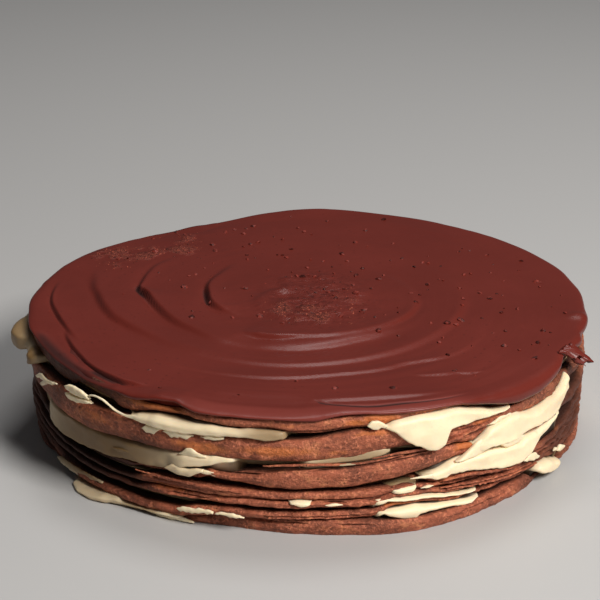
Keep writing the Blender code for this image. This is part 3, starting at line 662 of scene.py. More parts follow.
# Torn flakes on the rim: azimuth, half span, start radius, length, height and droop of each.
FLAKES = (
    (333.8, 2.7, 0.0996, 0.0088, 0.0428, 0.0046),
    (332.4, 1.9, 0.0990, 0.0068, 0.0434, 0.0028),
)

# Cocoa on the top: centre azimuth, radius share, spread share and weight of each heap.
COCOA = (
    (264.0, 0.120, 0.075, 1.00), (284.0, 0.175, 0.060, 1.00), (304.0, 0.205, 0.055, 0.35),
    (330.0, 0.200, 0.060, 0.22), (238.0, 0.110, 0.060, 0.80), (10.0, 0.160, 0.070, 0.30),
    (145.0, 0.890, 0.085, 0.70), (139.0, 0.800, 0.080, 0.62), (131.0, 0.730, 0.065, 0.58),
    (152.0, 0.840, 0.060, 0.40), (124.0, 0.840, 0.070, 0.40),
)

# Where the camera stands and looks, in metres and degrees, and its lens in millimetres.
CAMERA_DISTANCE = 0.714
CAMERA_ELEVATION = 21.17
CAMERA_TARGET = (AXIS_X - 0.00214, AXIS_Y, 0.04386)
CAMERA_LENS = 117.42
SENSOR_WIDTH = 36.0

# The floor, the point that the lights face, and the room's own soft light.
FLOOR_HALF = 4.0
LIGHTS_AIM = (0.0, 0.0, 0.02)
ROOM_COLOUR = (0.78, 0.79, 0.82, 1.0)
ROOM_LIGHT = 0.07

# Random patches: the cells of their grid, and how far from its corner they are read, in metres.
GRID_CELLS = 512
GRID_OFFSET = 0.2


# ---------------------------------------------------------------- shape helpers


def smooth_step(amount):
    """0 below 0, 1 above 1, smooth between."""
    amount = np.clip(amount, 0.0, 1.0)
    return amount * amount * (3.0 - 2.0 * amount)


def mix(first, second, share):
    return first + share * (second - first)


def turn_from(azimuths, centre):
    """Degrees from the centre to each azimuth, the short way round."""
    return (azimuths - centre + HALF_TURN) % FULL_TURN - HALF_TURN


def span_weight(azimuths, start, end, softness):
    """1 within the span from start to end, falling softly to 0 outside it."""
    half_length = ((end - start) % FULL_TURN) / 2.0
    off_centre = turn_from(azimuths - start, half_length)
    return smooth_step((half_length - np.abs(off_centre)) / softness + 0.5)


def follow_rows(turns, rows, closed=True):
    """Values at the turns from rows of (azimuth, value, ...), joined without overshoot."""
    table = np.array(rows, float)
    at, values = table[:, 0], table[:, 1:]
    if closed:
        at = np.concatenate((at[-1:] - FULL_TURN, at, at[:2] + FULL_TURN))
        values = np.concatenate((values[-1:], values, values[:2]))
        turns = (turns - at[0]) % FULL_TURN + at[0]
    turns = np.clip(turns, at[0], at[-1])
    steps = np.diff(at)[:, None]
    slopes = np.diff(values, axis=0) / steps
    before, after = slopes[:-1], slopes[1:]
    same_way = before * after > 0.0
    middle = np.where(same_way, 2.0 * before * after / np.where(same_way, before + after, 1.0), 0.0)
    ends = np.zeros((1, values.shape[1]))
    slope_at = np.concatenate((ends, middle, ends))
    index = np.clip(np.searchsorted(at, turns, side="right") - 1, 0, len(steps) - 1)
    step = steps[index]
    share = ((turns - at[index])[:, None]) / step
    squared, cubed = share * share, share * share * share
    return (
        (2 * cubed - 3 * squared + 1) * values[index]
        + (cubed - 2 * squared + share) * step * slope_at[index]
        + (3 * squared - 2 * cubed) * values[index + 1]
        + (cubed - squared) * step * slope_at[index + 1]
    ).T


def back_weight(azimuths):
    return span_weight(azimuths, *BACK_SPAN)


def wave(azimuths, number):
    """An uneven wave between about -1 and 1, different for each number."""
    turn = np.radians(azimuths)
    return (
        0.5 * np.sin(2.0 * turn + 2.4 * number)
        + 0.3 * np.sin(5.0 * turn + 4.1 * number)
        + 0.2 * np.sin(9.0 * turn + 1.3 * number)
    )


def between_cells(grid, x, y):
    """Smooth values between the cells of a grid that repeats both ways."""
    rows, columns = grid.shape
    x, y = np.broadcast_arrays(x, y)
    left, below = np.floor(x).astype(int), np.floor(y).astype(int)
    right_share, up_share = smooth_step(x - left), smooth_step(y - below)
    corners = [
        grid[(below + row) % rows, (left + column) % columns] for row in (0, 1) for column in (0, 1)
    ]
    lower = mix(corners[0], corners[1], right_share)
    upper = mix(corners[2], corners[3], right_share)
    return mix(lower, upper, up_share)


def patches(across, up, size, seed, around=None):
    """Smooth random patches of the given size, from -1 to 1. They close up after `around`."""
    columns = max(3, round(around / size)) if around else GRID_CELLS
    width = around / columns if around else size
    grid = np.random.default_rng(seed).uniform(-1.0, 1.0, (GRID_CELLS, columns))
    return between_cells(grid, across / width, up / size)


def side_patches(azimuths, heights, size, seed):
    """Patches on the cake's side, which close up round the cake."""
    along = azimuths / FULL_TURN * CIRCUMFERENCE
    return patches(along, heights + GRID_OFFSET, size, seed, CIRCUMFERENCE)


def relief(azimuths, heights, layers, number):
    """Patches on the side added up, from rows of size, depth and seed."""
    total = 0.0
    for size, depth, seed in layers:
        total = total + depth * side_patches(azimuths, heights, size, seed + number)
    return total


def side_radius(height):
    return BASE_RADIUS + (TOP_RADIUS - BASE_RADIUS) * np.clip(height / RIM_HEIGHT, 0.0, 1.0)


def within_sides(radius):
    """The radius, kept within the cake's greatest width and depth."""
    across, deep = np.cos(np.radians(AZIMUTHS)), np.sin(np.radians(AZIMUTHS))
    room_x = (MOST_X - AXIS_X * np.sign(across)) / np.maximum(np.abs(across), 0.01)
    room_y = (MOST_Y - AXIS_Y * np.sign(deep)) / np.maximum(np.abs(deep), 0.01)
    return np.minimum(radius, np.minimum(room_x, room_y))


def crepe_edges(azimuths):
    """Low and high height and reach of each crepe's edge, from the bottom one up, none touching."""
    edges = []
    floor = np.zeros(len(azimuths))
    back = back_weight(azimuths)
    for number, rows in enumerate(CREPES):
        low, high, inset = follow_rows(azimuths, rows) * MM
        lift = CREPE_WAVE * back * wave(azimuths, number)
        lift = lift + relief(azimuths, 0.0, EDGE_LIFT, number)
        if number > 0:
            low = low + lift
        low = np.maximum(low, floor)
        high = np.maximum(high + lift, low + LEAST_CREPE)
        inset = inset + CREPE_INSET_WAVE * back * wave(azimuths, number + 20)
        inset = inset - relief(azimuths, 0.0, EDGE_REACH, number)
        edges.append((low, high, side_radius(0.5 * (low + high)) - inset))
        floor = high + LEAST_SLOT
    return edges


def slot_heights(edges, number):
    """Low and high height of the filling's slot at the side, a hair inside the crepes beside it."""
    return edges[number][1] - OVERLAP, edges[number + 1][0] + OVERLAP


def filling_faces(azimuths, edges):
    """Reach past the side, low and high of each filling's face."""
    faces = []
    back = back_weight(azimuths)
    for number, rows in enumerate(FILLINGS):
        reach, low, high = follow_rows(azimuths, rows) * MM
        slot_low, slot_high = slot_heights(edges, number)
        swell = relief(azimuths, 0.0, BACK_SWELL, number)
        drip = LONGEST_DRIP * smooth_step(0.9 * swell - 0.1)
        reach = mix(reach, np.clip(0.0034 * swell - 0.0015, -0.0036, 0.0015), back)
        low = mix(low, slot_low - drip, back)
        high = mix(high, slot_high + 0.4 * drip, back)
        low = np.minimum(low, slot_high - LEAST_FILLING)
        high = np.maximum(high, slot_low + LEAST_FILLING)
        faces.append((reach, low, high))
    return faces


def core_heights():
    """Low and high height of each crepe at the cake's axis."""
    crepes = len(CREPES)
    fillings = RIM_HEIGHT - CORE_GANACHE - crepes * CORE_CREPE - (2 * crepes - 1) * GAP
    pitch = CORE_CREPE + fillings / len(FILLINGS) + 2.0 * GAP
    return [(number * pitch, number * pitch + CORE_CREPE) for number in range(crepes)]


def points_round(radius, azimuths, height):
    """Points at the radius, azimuth and height about the cake's axis."""
    turn = np.radians(azimuths)
    x, y = AXIS_X + radius * np.cos(turn), AXIS_Y + radius * np.sin(turn)
    return np.stack((x, y, height), axis=-1)


def smooth_mesh(name, points, faces):
    mesh = bpy.data.meshes.new(name)
    mesh.from_pydata(points, [], faces)
    mesh.shade_smooth()
    return mesh


def add_object(name, data):
    """Puts a mesh, a light or a camera in the scene, at the origin."""
    thing = bpy.data.objects.new(name, data)
    bpy.context.scene.collection.objects.link(thing)
    return thing


def full_rings(rings):
    """Radius and height of every ring at every azimuth, as two grids."""
    return [np.array([np.broadcast_to(ring[part], STEPS) for ring in rings]) for part in (0, 1)]


def layer_object(name, rings, top_centre, bottom_centre, marks=None, coarse=0):
    """A closed disc from rings of (radius, height) at every azimuth, top first, bottom last.

    The first rings, as many as coarse says, keep every second azimuth only. The marks hold a
    value for each ring and azimuth, which the materials read.
    """
    radius, height = full_rings(rings)
    grid = points_round(within_sides(radius), AZIMUTHS, height)
    kept = [slice(None, None, 2 if row < coarse else 1) for row in range(len(rings))]
    counts = [len(AZIMUTHS[part]) for part in kept]
    starts = np.concatenate(((0,), np.cumsum(counts)))
    centres = np.array([(AXIS_X, AXIS_Y, top_centre), (AXIS_X, AXIS_Y, bottom_centre)])
    points = np.concatenate([grid[row][part] for row, part in enumerate(kept)] + [centres])
    faces = []
    for row in range(len(rings) - 1):
        upper, lower = starts[row], starts[row + 1]
        this = np.arange(counts[row])
        following = (this + 1) % counts[row]
        if counts[row] == counts[row + 1]:
            quads = (upper + this, lower + this, lower + following, upper + following)
            faces.extend(np.stack(quads, axis=1).tolist())
            continue
        first, second = lower + 2 * this, lower + 2 * this + 1
        third = lower + 2 * following
        for corners in (
            (upper + this, first, second),
            (upper + this, second, upper + following),
            (upper + following, second, third),
        ):
            faces.extend(np.stack(corners, axis=1).tolist())
    top, bottom = len(points) - 2, len(points) - 1
    around, last = counts[0], int(starts[-2])
    faces.extend((top, step, (step + 1) % around) for step in range(around))
    faces.extend((bottom, last + (step + 1) % STEPS, last + step) for step in range(STEPS))
    mesh = smooth_mesh(name, points.tolist(), faces)
    for mark, values in (marks or {}).items():
        values = np.broadcast_to(values, radius.shape)
        values = np.concatenate([values[row][part] for row, part in enumerate(kept)] + [(0.0, 0.0)])
        attribute = mesh.attributes.new(mark, "FLOAT", "POINT")
        attribute.data.foreach_set("value", values.astype(np.float32))
    return add_object(name, mesh)


def place(piece, material, nodes=()):
    """Gives a finished piece its material, joins it to the cake's body and hides the parts it
    replaces.
    """
    piece.data.materials.clear()
    piece.data.materials.append(material)
    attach(piece, "root")
    if nodes:
        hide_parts(*nodes)


# ---------------------------------------------------------------- crepes


CREPE_FACE_POINTS = 16
CREPE_ROUNDING = 0.0011
CREPE_SQUARENESS = 2.6
CREPE_LEAN = 0.0004
CREPE_CROWN = 0.00005
FOOT_ROUNDING = 0.0006
FOOT_INSET = 0.0036
STRATA_SQUEEZE = 0.11
STRATA_HEIGHT = 0.0008


def crumble(azimuths, number):
    """How crumbly a crepe's edge is: most at the right, where the edges are torn."""
    torn = span_weight(azimuths, *TORN_SPAN)
    if 1 <= number <= 4:
        worn = 0.7 * span_weight(azimuths, *LOW_WORN_SPAN)
    else:
        worn = 0.3 * span_weight(azimuths, *WORN_SPAN)
    return np.maximum(np.maximum(torn, worn), 0.4 * back_weight(azimuths))


def strata(azimuths, heights, seed):
    """Thin uneven ledges that run along a torn edge."""
    around = CIRCUMFERENCE * STRATA_SQUEEZE
    along = azimuths / FULL_TURN * around
    return patches(along, heights + GRID_OFFSET, STRATA_HEIGHT, seed, around)


def strongest(azimuths, heights, places, fading):
    """The strongest of the places at each point. Each fades with the distance as fading says."""
    share = np.zeros(np.broadcast(azimuths, heights).shape)
    for azimuth, height, half_span, half_height, strength in places:
        off = turn_from(azimuths, azimuth) / half_span
        up = (heights / MM - height) / half_height
        share = np.maximum(share, strength * np.exp(-fading(off, up)))
    return share


def toasting(azimuths, heights):
    """How toasted or glazed each place on the side is, from 0 to 1."""
    share = strongest(azimuths, heights, TOASTED, lambda off, up: 1.2 * (off * off + up * up))
    behind = 0.5 * smooth_step(1.6 * side_patches(azimuths, heights, 0.016, 130) - 0.2)
    return np.maximum(share, behind * back_weight(azimuths))


def painted_shade_share(azimuths, heights, places):
    """How much painted shade each place gets, from 0 to 1."""
    return strongest(azimuths, heights, places, lambda off, up: off**4 + up**4)


def crepe_piece(number, edges, rings, core):
    """One crepe, whose edge is rounded, lumpy, torn into ledges and slit."""
    low, high, reach = edges[number]
    thickness = high - low
    most_rounding = 0.40 * thickness
    rounding = np.minimum(CREPE_ROUNDING, most_rounding)
    foot = np.minimum(FOOT_ROUNDING if number == 0 else CREPE_ROUNDING, most_rounding)
    share = np.linspace(0.0, 1.0, CREPE_FACE_POINTS)[:, None]
    height = high - thickness * share
    up, down = np.maximum(1.0 - 2.0 * share, 0.0), np.maximum(2.0 * share - 1.0, 0.0)
    radius = reach - rounding * up**CREPE_SQUARENESS - foot * down**CREPE_SQUARENESS
    radius = radius - CREPE_LEAN * (share - 0.5)
    rough = crumble(AZIMUTHS, number)
    layers = [(size, depth + torn * rough, seed) for size, depth, torn, seed in CREPE_RELIEF]
    bumps = relief(AZIMUTHS, height, layers, number)
    ledge, torn_ledge = CREPE_LEDGES
    bumps = bumps + (ledge + torn_ledge * rough) * strata(AZIMUTHS, height, 340 + number)
    radius = radius + bumps
    for crepe, start, end, at, depth, half in SLITS:
        if crepe == number:
            wander = at + 0.05 * side_patches(AZIMUTHS, 0.0, 0.007, 200 + start)
            off = (height - mix(low, high, wander)) / (half * MM)
            length = span_weight(AZIMUTHS, start, end, SLIT_SOFTNESS)
            radius -= depth * MM * length * np.exp(-off * off)
    ring = rings[number]
    foot_ring = rings[number - 1] if number else reach - FOOT_INSET
    profile = [(ring, high), (mix(ring, radius[0], 0.6), high + CREPE_CROWN)]
    profile += list(zip(radius, height))
    profile += [(mix(foot_ring, radius[-1], 0.5), low), (foot_ring, low)]
    low_core, high_core = core
    if number == 0:
        profile = [(r, np.maximum(h, 0.0)) for r, h in profile]
    radii, heights = full_rings(profile)
    # Painted shade: sunk edges at the left are darkened, as they lie in the dark.
    recess = 0.65 * smooth_step((side_radius(heights) - radii - 0.0016) / 0.0026)
    recess = recess * span_weight(AZIMUTHS, *SUNK_SPAN)
    marks = {
        # Painted shade: the crepe is darkened behind its face, down in the slots, and on sunk
        # edges.
        "deep": np.maximum(smooth_step((reach - 0.0009 - radii) / 0.0014), recess),
        "toast": toasting(AZIMUTHS, heights),
        # Painted shade for the crepes' shaded places at the ends and under the rim.
        "crepe_shade": painted_shade_share(AZIMUTHS, heights, CREPE_SHADE),
    }
    return layer_object(f"fine_crepe_{number + 1}", profile, high_core, low_core, marks)


# ---------------------------------------------------------------- cream


CREAM_ARC_POINTS = 7
CREAM_FACE_POINTS = 8
CREAM_LIP = 0.0008
CREAM_TAPER = 0.0018
CREAM_FRAY_DEPTH = 0.00022
CREAM_OVERHANG = 0.0004
CREAM_TUCK = 0.0005
CREAM_HEEL = 0.00004
LEAST_CREAM_DEPTH = 0.0003


def cream_piece(number, edges, faces, rings, cores):
    """The filling's face swells from its slot, thins out upwards and has a soft lower lip."""
    slot_low, slot_high = slot_heights(edges, number)
    reach, low, high = faces[number]
    ring = rings[number]
    below, above = edges[number][2], edges[number + 1][2]
    nearest = np.minimum(below, above)
    outer = side_radius(0.5 * (low + high)) + reach
    shown = smooth_step((outer - nearest) / 0.0012)
    low = low - CREAM_FRAY_DEPTH * relief(AZIMUTHS, 0.0, CREAM_FRAY, number) * shown
    upper_fray = side_patches(AZIMUTHS, 0.0, 0.0032, 270 + number)
    high = high + CREAM_FRAY_DEPTH * shown * upper_fray
    high = np.maximum(high, low + LEAST_FILLING)
    tall = high - low
    outer = outer + 0.00030 * shown * side_patches(AZIMUTHS, 0.0, 0.007, 280 + number)
    innermost = outer - LEAST_CREAM_DEPTH
    back = np.minimum(mix(outer - 0.0004, nearest - 0.0010, shown), innermost)
    over = shown * smooth_step((high - slot_high) / CREAM_OVERHANG)
    under = shown * smooth_step((slot_low - low) / CREAM_OVERHANG)
    top_back = np.minimum(mix(back, above - CREAM_TUCK, over), innermost)
    bottom_back = np.minimum(mix(back, below - CREAM_TUCK, under), innermost)
    taper = np.minimum(CREAM_TAPER, 0.5 * tall)
    lip = np.minimum(CREAM_LIP, 0.4 * tall)
    lip_depth = np.minimum(CREAM_LIP, outer - bottom_back)
    # The face thins out above, runs straight down, and ends in a soft lip below.
    profile = []
    for turn in np.linspace(QUARTER, 0.0, CREAM_ARC_POINTS):
        radius = outer - (outer - top_back) * (1.0 - math.cos(turn))
        profile.append((radius, high - taper * (1.0 - math.sin(turn))))
    for share in np.linspace(0.0, 1.0, CREAM_FACE_POINTS)[1:-1]:
        profile.append((outer, mix(high - taper, low + lip, share)))
    for turn in np.linspace(0.0, QUARTER, CREAM_ARC_POINTS):
        radius = outer - lip_depth * (1.0 - math.cos(turn))
        profile.append((radius, low + lip * (1.0 - math.sin(turn))))
    profile.append((bottom_back, low + CREAM_HEEL))
    radius, height = full_rings(profile)
    bulge = smooth_step((radius - np.minimum(top_back, bottom_back)) / 0.0010)
    lumps = relief(AZIMUTHS, height, CREAM_LUMPS, number)
    lumps = lumps + 0.00020 * strata(AZIMUTHS, 0.5 * height, 360 + number)
    radius = radius + lumps * shown * bulge
    height = np.maximum(height, FLOOR_GAP)
    inside = np.maximum(np.minimum(np.minimum(top_back, bottom_back), nearest - 0.0006), ring)
    half_way = mix(ring, inside, 0.6)
    profile = [(ring, slot_high), (half_way, slot_high)]
    profile += list(zip(radius, height))
    profile += [(half_way, slot_low), (ring, slot_low)]
    radii, heights = full_rings(profile)
    front = np.minimum(nearest, outer)
    # Painted shade: cream well inside the side gets the painted shade colour, as little light gets
    # there.
    sunk = smooth_step((side_radius(heights) - 0.0010 - radii) / 0.0018)
    marks = {
        # Painted shade for cream that lies behind the crepes' edges, deep in the slots.
        "deep": smooth_step((front - 0.0002 - radii) / 0.0009),
        "cream_shade": np.maximum(painted_shade_share(AZIMUTHS, heights, CREAM_SHADE), 0.85 * sunk),
    }
    top_centre = cores[number + 1][0] - GAP
    bottom_centre = cores[number][1] + GAP
    return layer_object(f"fine_cream_{number + 1}", profile, top_centre, bottom_centre, marks)


def contact_rings(edges, faces, ganache_reach):
    """Radius of the ring where each crepe's top meets the layer above it."""
    rings = []
    for number, (_, _, reach) in enumerate(edges[:-1]):
        shorter = np.minimum(reach, edges[number + 1][2]) - EDGE_DEPTH
        middle = 0.5 * (edges[number][1] + edges[number + 1][0])
        face = side_radius(middle) + faces[number][0] - RING_COVER
        rings.append(np.minimum(shorter, face))
    rings.append(np.minimum(edges[-1][2], ganache_reach) - EDGE_DEPTH)
    return rings


# ---------------------------------------------------------------- patches and strands


PATCH_STEP = 0.28
PATCH_AROUND = 18
PATCH_FRAY = 0.0011
LEAST_PATCH = 0.00012
LEAST_PATCH_STEPS = 7


def patch_shape(stand_out, fray, rows, seed):
    """Points, faces and painted shade shares of one thin patch on the side, closed all round."""
    first, last = rows[0][0], rows[-1][0]
    count = max(LEAST_PATCH_STEPS, math.ceil((last - first) / PATCH_STEP))
    azimuths = np.linspace(first, last, count)
    low, high = follow_rows(azimuths, rows, closed=False) * MM
    thin = smooth_step((high - low) / 0.0008)
    low = low - fray * MM * side_patches(azimuths, 0.0, PATCH_FRAY, seed) * thin
    high = high + 0.7 * fray * MM * side_patches(azimuths, 0.0, PATCH_FRAY, seed + 1)
    high = np.maximum(high, low + LEAST_PATCH)
    fullness = smooth_step((high - low) / 0.0009)
    thickness = max(0.9, stand_out + 0.6) * MM
    half = 0.5 * thickness * (0.35 + 0.65 * fullness)
    centre = side_radius(0.5 * (low + high)) + stand_out * MM - 0.5 * thickness
    turn = np.linspace(0.0, 2.0 * math.pi, PATCH_AROUND, endpoint=False)[:, None]
    out, up = np.cos(turn), np.sin(turn)
    radius = centre + half * np.sign(out) * np.abs(out) ** 0.7
    height = 0.5 * (low + high) + 0.5 * (high - low) * np.sign(up) * np.abs(up) ** 0.85
    lumps = relief(azimuths, height, PATCH_LUMPS, seed)
    radius = radius + lumps * np.maximum(out, 0.0) * fullness
    height = np.maximum(height, FLOOR_GAP)
    points = points_round(radius, azimuths, height).transpose(1, 0, 2).reshape(-1, 3)
    ends = points.reshape(count, PATCH_AROUND, 3)[[0, -1]].mean(axis=1)
    start, end, final = len(points), len(points) + 1, (count - 1) * PATCH_AROUND
    faces = []
    for this in range(0, final, PATCH_AROUND):
        following = this + PATCH_AROUND
        for column in range(PATCH_AROUND):
            other = (column + 1) % PATCH_AROUND
            faces.append((this + column, following + column, following + other, this + other))
    for column in range(PATCH_AROUND):
        other = (column + 1) % PATCH_AROUND
        faces.append((start, column, other))
        faces.append((end, final + other, final + column))
    cream_shade = painted_shade_share(azimuths, height, CREAM_SHADE).T.reshape(-1)
    cream_shade = np.concatenate((cream_shade, cream_shade[:1], cream_shade[-1:]))
    return points.tolist() + ends.tolist(), faces, cream_shade.tolist()


def patches_object(name, table, seed):
    """All the patches of a table, as one piece."""
    points, faces, cream_shade = [], [], []
    for number, (stand_out, fray, rows) in enumerate(table):
        more_points, more_faces, more_cream_shade = patch_shape(stand_out, fray, rows, seed + 5 * number)
        start = len(points)
        points.extend(more_points)
        cream_shade.extend(more_cream_shade)
        faces.extend(tuple(start + index for index in face) for face in more_faces)
    mesh = smooth_mesh(name, points, faces)
    # Each point keeps its share of painted shade.
    mesh.attributes.new("cream_shade", "FLOAT", "POINT").data.foreach_set("value", cream_shade)
    return add_object(name, mesh)


# ---------------------------------------------------------------- ganache


COARSE_RINGS = 44
LIP_POINTS = 9
UNDERSIDE_POINTS = 6
LEAST_LIP = 0.0012
CREASE_DEPTH = 0.0006
CRUST_LUMPS = 0.00016
CRUST_SHARE = 0.30
CRUMB_CEILING = 0.0444
STRETCHED_ROWS = 256
KNIFE_DRIFT = 0.00006
SLOW_WAVES = 5
FLAKE_ROWS = 9
FLAKE_COLUMNS = 16
FLAKE_HALF_THICKNESS = 0.0005


def radial_shares():
    """Shares of the way out to the lip, closer together towards the rim."""
    return np.concatenate(
        (
            np.linspace(0.012, 0.25, 16, endpoint=False),
            np.linspace(0.25, 0.46, COARSE_RINGS - 16, endpoint=False),
            np.linspace(0.46, 0.87, 46, endpoint=False),
            np.linspace(0.87, 1.00, 32),
        )
    )


def swirl_height(azimuths, radius):
    """Height of the spread swirl above the flat top, for rings of radii."""
    height = np.zeros(np.broadcast(azimuths, radius).shape)
    share = radius / TOP_RADIUS
    for rows in SWIRL:
        first, last = rows[0][0], rows[-1][0]
        turns = np.where(azimuths < first, azimuths + FULL_TURN, azimuths)
        at, fall, half = follow_rows(turns, rows, closed=False)
        fall = np.where(turns > last, 0.0, fall) * MM
        off = (share - at) / half
        height -= fall * off / (1.0 + off * off)
    return height - CREASE_DEPTH * crease_share(azimuths, radius)


def top_ripples(azimuths, radius):
    """Fine marks of the palette knife, long round the cake and short across."""
    marks = 0.0
    for size, cells, depth, seed in KNIFE_MARKS:
        marks = marks + depth * stretched(azimuths, radius, size, cells, seed)
    return marks * (0.35 + 0.65 * span_weight(azimuths, *KNIFE_SPAN))


def dab_height(azimuths, radius):
    """Height of the knife's dabs and of the lumpy crust near the middle."""
    turn = np.radians(azimuths)
    x, y = radius / TOP_RADIUS * np.cos(turn), radius / TOP_RADIUS * np.sin(turn)
    height = np.zeros(np.broadcast(azimuths, radius).shape)
    for azimuth, share, spread, lift in DABS:
        angle = math.radians(azimuth)
        off = (x - share * math.cos(angle)) ** 2 + (y - share * math.sin(angle)) ** 2
        height += lift * MM * np.exp(-off / spread**2)
    across, deep = x * TOP_RADIUS + GRID_OFFSET, y * TOP_RADIUS + GRID_OFFSET
    lumps = patches(across, deep, 0.0042, 541) + 0.6 * patches(across, deep, 0.0021, 542)
    return height + CRUST_LUMPS * lumps * np.exp(-((radius / TOP_RADIUS / CRUST_SHARE) ** 2))


def stretched(azimuths, radius, size, cells, seed):
    """Patches of the given radial size that run far round the cake."""
    grid = np.random.default_rng(seed).uniform(-1.0, 1.0, (STRETCHED_ROWS, cells))
    outwards = (radius + KNIFE_DRIFT * azimuths) / size
    return between_cells(grid, azimuths / FULL_TURN * cells, outwards)


def cocoa_share(x, y):
    """Where cocoa lies on the top, from 0 to 1."""
    share = np.zeros(np.broadcast(x, y).shape)
    for azimuth, radius, spread, weight in COCOA:
        angle = math.radians(azimuth)
        off_x = x - AXIS_X - radius * TOP_RADIUS * math.cos(angle)
        off_y = y - AXIS_Y - radius * TOP_RADIUS * math.sin(angle)
        off = (off_x**2 + off_y**2) / (spread * TOP_RADIUS) ** 2
        share = np.maximum(share, weight * np.exp(-off))
    x, y = x + GRID_OFFSET, y + GRID_OFFSET
    broken = patches(x, y, 0.0052, 611) + 0.7 * patches(x, y, 0.0024, 612)
    return share * smooth_step(0.35 + 0.65 * broken + 0.40 * share)


def crumb_share(x, y):
    """Where crumbs lie on the top: most at the back and the right, few at the front left."""
    turn = np.arctan2(y - AXIS_Y, x - AXIS_X)
    radius = np.hypot(x - AXIS_X, y - AXIS_Y) / TOP_RADIUS
    share = 0.16 + 0.75 * smooth_step(0.5 + 0.5 * np.cos(turn - math.radians(60.0)))
    share += 0.8 * np.exp(-((radius - 0.26) ** 2) / 0.02) * (0.6 + 0.4 * np.cos(turn))
    return share * smooth_step((0.97 - radius) / 0.05)


def slow_part(values):
    """The values round the cake without their quick changes."""
    even = np.arange(0.0, FULL_TURN, 3.0)
    order = np.argsort(AZIMUTHS)
    waves = np.fft.rfft(np.interp(even, AZIMUTHS[order], values[order], period=FULL_TURN))
    waves[SLOW_WAVES:] = 0.0
    slow = np.fft.irfft(waves, len(even))
    return np.interp(AZIMUTHS, even, slow, period=FULL_TURN)


def crease_share(azimuths, radius):
    """How deep in a crease each place on the top is, from 0 to 1."""
    share = np.zeros(np.broadcast(azimuths, radius).shape)
    for rows in CREASES:
        at, depth, half = follow_rows(azimuths, rows, closed=False)
        depth = np.where((azimuths < rows[0][0]) | (azimuths > rows[-1][0]), 0.0, depth)
        off = (radius / TOP_RADIUS - at - 0.2 * half) / (1.2 * half)
        share = np.maximum(share, np.minimum(depth, 1.0) * np.exp(-(off**2)))
    return share


def ganache_piece(edges, rings, core_top):
    """The ganache: the spread top, the rounded lip and the seat on the top crepe."""
    edge, top, reach, width = follow_rows(AZIMUTHS, RIM) * MM
    reach = side_radius(RIM_HEIGHT) + reach
    reach = reach + 0.00030 * side_patches(AZIMUTHS, 0.0, 0.012, 520)
    reach = reach + 0.00016 * side_patches(AZIMUTHS, 0.0, 0.0045, 521)
    edge = edge + 0.00030 * side_patches(AZIMUTHS, 0.0, 0.010, 522)
    inner = reach - width
    level = slow_part(top)
    shares = radial_shares()
    profile = []
    for share in shares:
        radius = share * inner
        height = mix(CENTRE_HEIGHT, level, (radius / reach) ** 2)
        height = height + (top - level) * smooth_step((share - 0.89) / 0.11)
        height = height + swirl_height(AZIMUTHS, radius) + top_ripples(AZIMUTHS, radius)
        height = height + CENTRE_PEAK * np.exp(-((share / PEAK_SHARE) ** 2))
        height = np.minimum(height + dab_height(AZIMUTHS, radius), HIGHEST)
        profile.append((radius, height))
    brow = profile[-1][1]
    edge = np.minimum(edge, brow - LEAST_LIP)
    middle = mix(edge, brow, 0.42)
    # The lip is rounded from the brow to its middle, then thins down to its lower edge.
    for angle in np.linspace(0.0, QUARTER, LIP_POINTS)[1:]:
        radius = inner + width * math.sin(angle) ** 0.9
        profile.append((radius, middle + (brow - middle) * math.cos(angle) ** 0.9))
    thickness = np.clip(0.3 * (brow - edge), 0.0006, 0.0012)
    for angle in np.linspace(0.0, QUARTER, UNDERSIDE_POINTS)[1:]:
        radius = reach - thickness * (1.0 - math.cos(angle))
        profile.append((radius, middle - (middle - edge) * math.sin(angle)))
    # The underside runs back to its seat on the top crepe.
    ring = rings[-1]
    _, high, crepe_reach = edges[-1]
    seat = np.minimum(reach - 0.0012, crepe_reach + 0.0006)
    seat = np.minimum(seat, reach - 1.6 * thickness)
    seat_height = np.maximum(high - 0.0002, edge + 0.0004)
    profile.append((mix(reach - thickness, seat, 0.5), edge + 0.0002))
    profile.append((seat, mix(edge + 0.0003, seat_height, 0.6)))
    profile.append((mix(seat, ring, 0.5), high + GAP))
    profile.append((ring, high + GAP))
    radii, heights = full_rings(profile)
    turn = np.radians(AZIMUTHS)
    x, y = AXIS_X + radii * np.cos(turn), AXIS_Y + radii * np.sin(turn)
    on_top = (np.arange(len(profile)) < len(shares))[:, None]
    low_enough = smooth_step((CRUMB_CEILING - heights) / 0.0002)
    marks = {
        "cocoa": cocoa_share(x, y) * on_top,
        "crumbs": crumb_share(x, y) * low_enough * on_top,
        # Painted shade in the creases.
        "deep": crease_share(AZIMUTHS, radii),
        # Painted sheen: the front lip is lightened as a highlight.
        "thin": span_weight(AZIMUTHS, *SHEEN_SPAN) * smooth_step((radii - reach + 0.0085) / 0.003),
        "crust": np.exp(-((((x - 0.006) / 0.018) ** 2 + (y / 0.028) ** 2) ** 1.5)),
    }
    peak = CENTRE_HEIGHT + CENTRE_PEAK
    return layer_object("fine_ganache", profile, peak, core_top + GAP, marks, COARSE_RINGS)


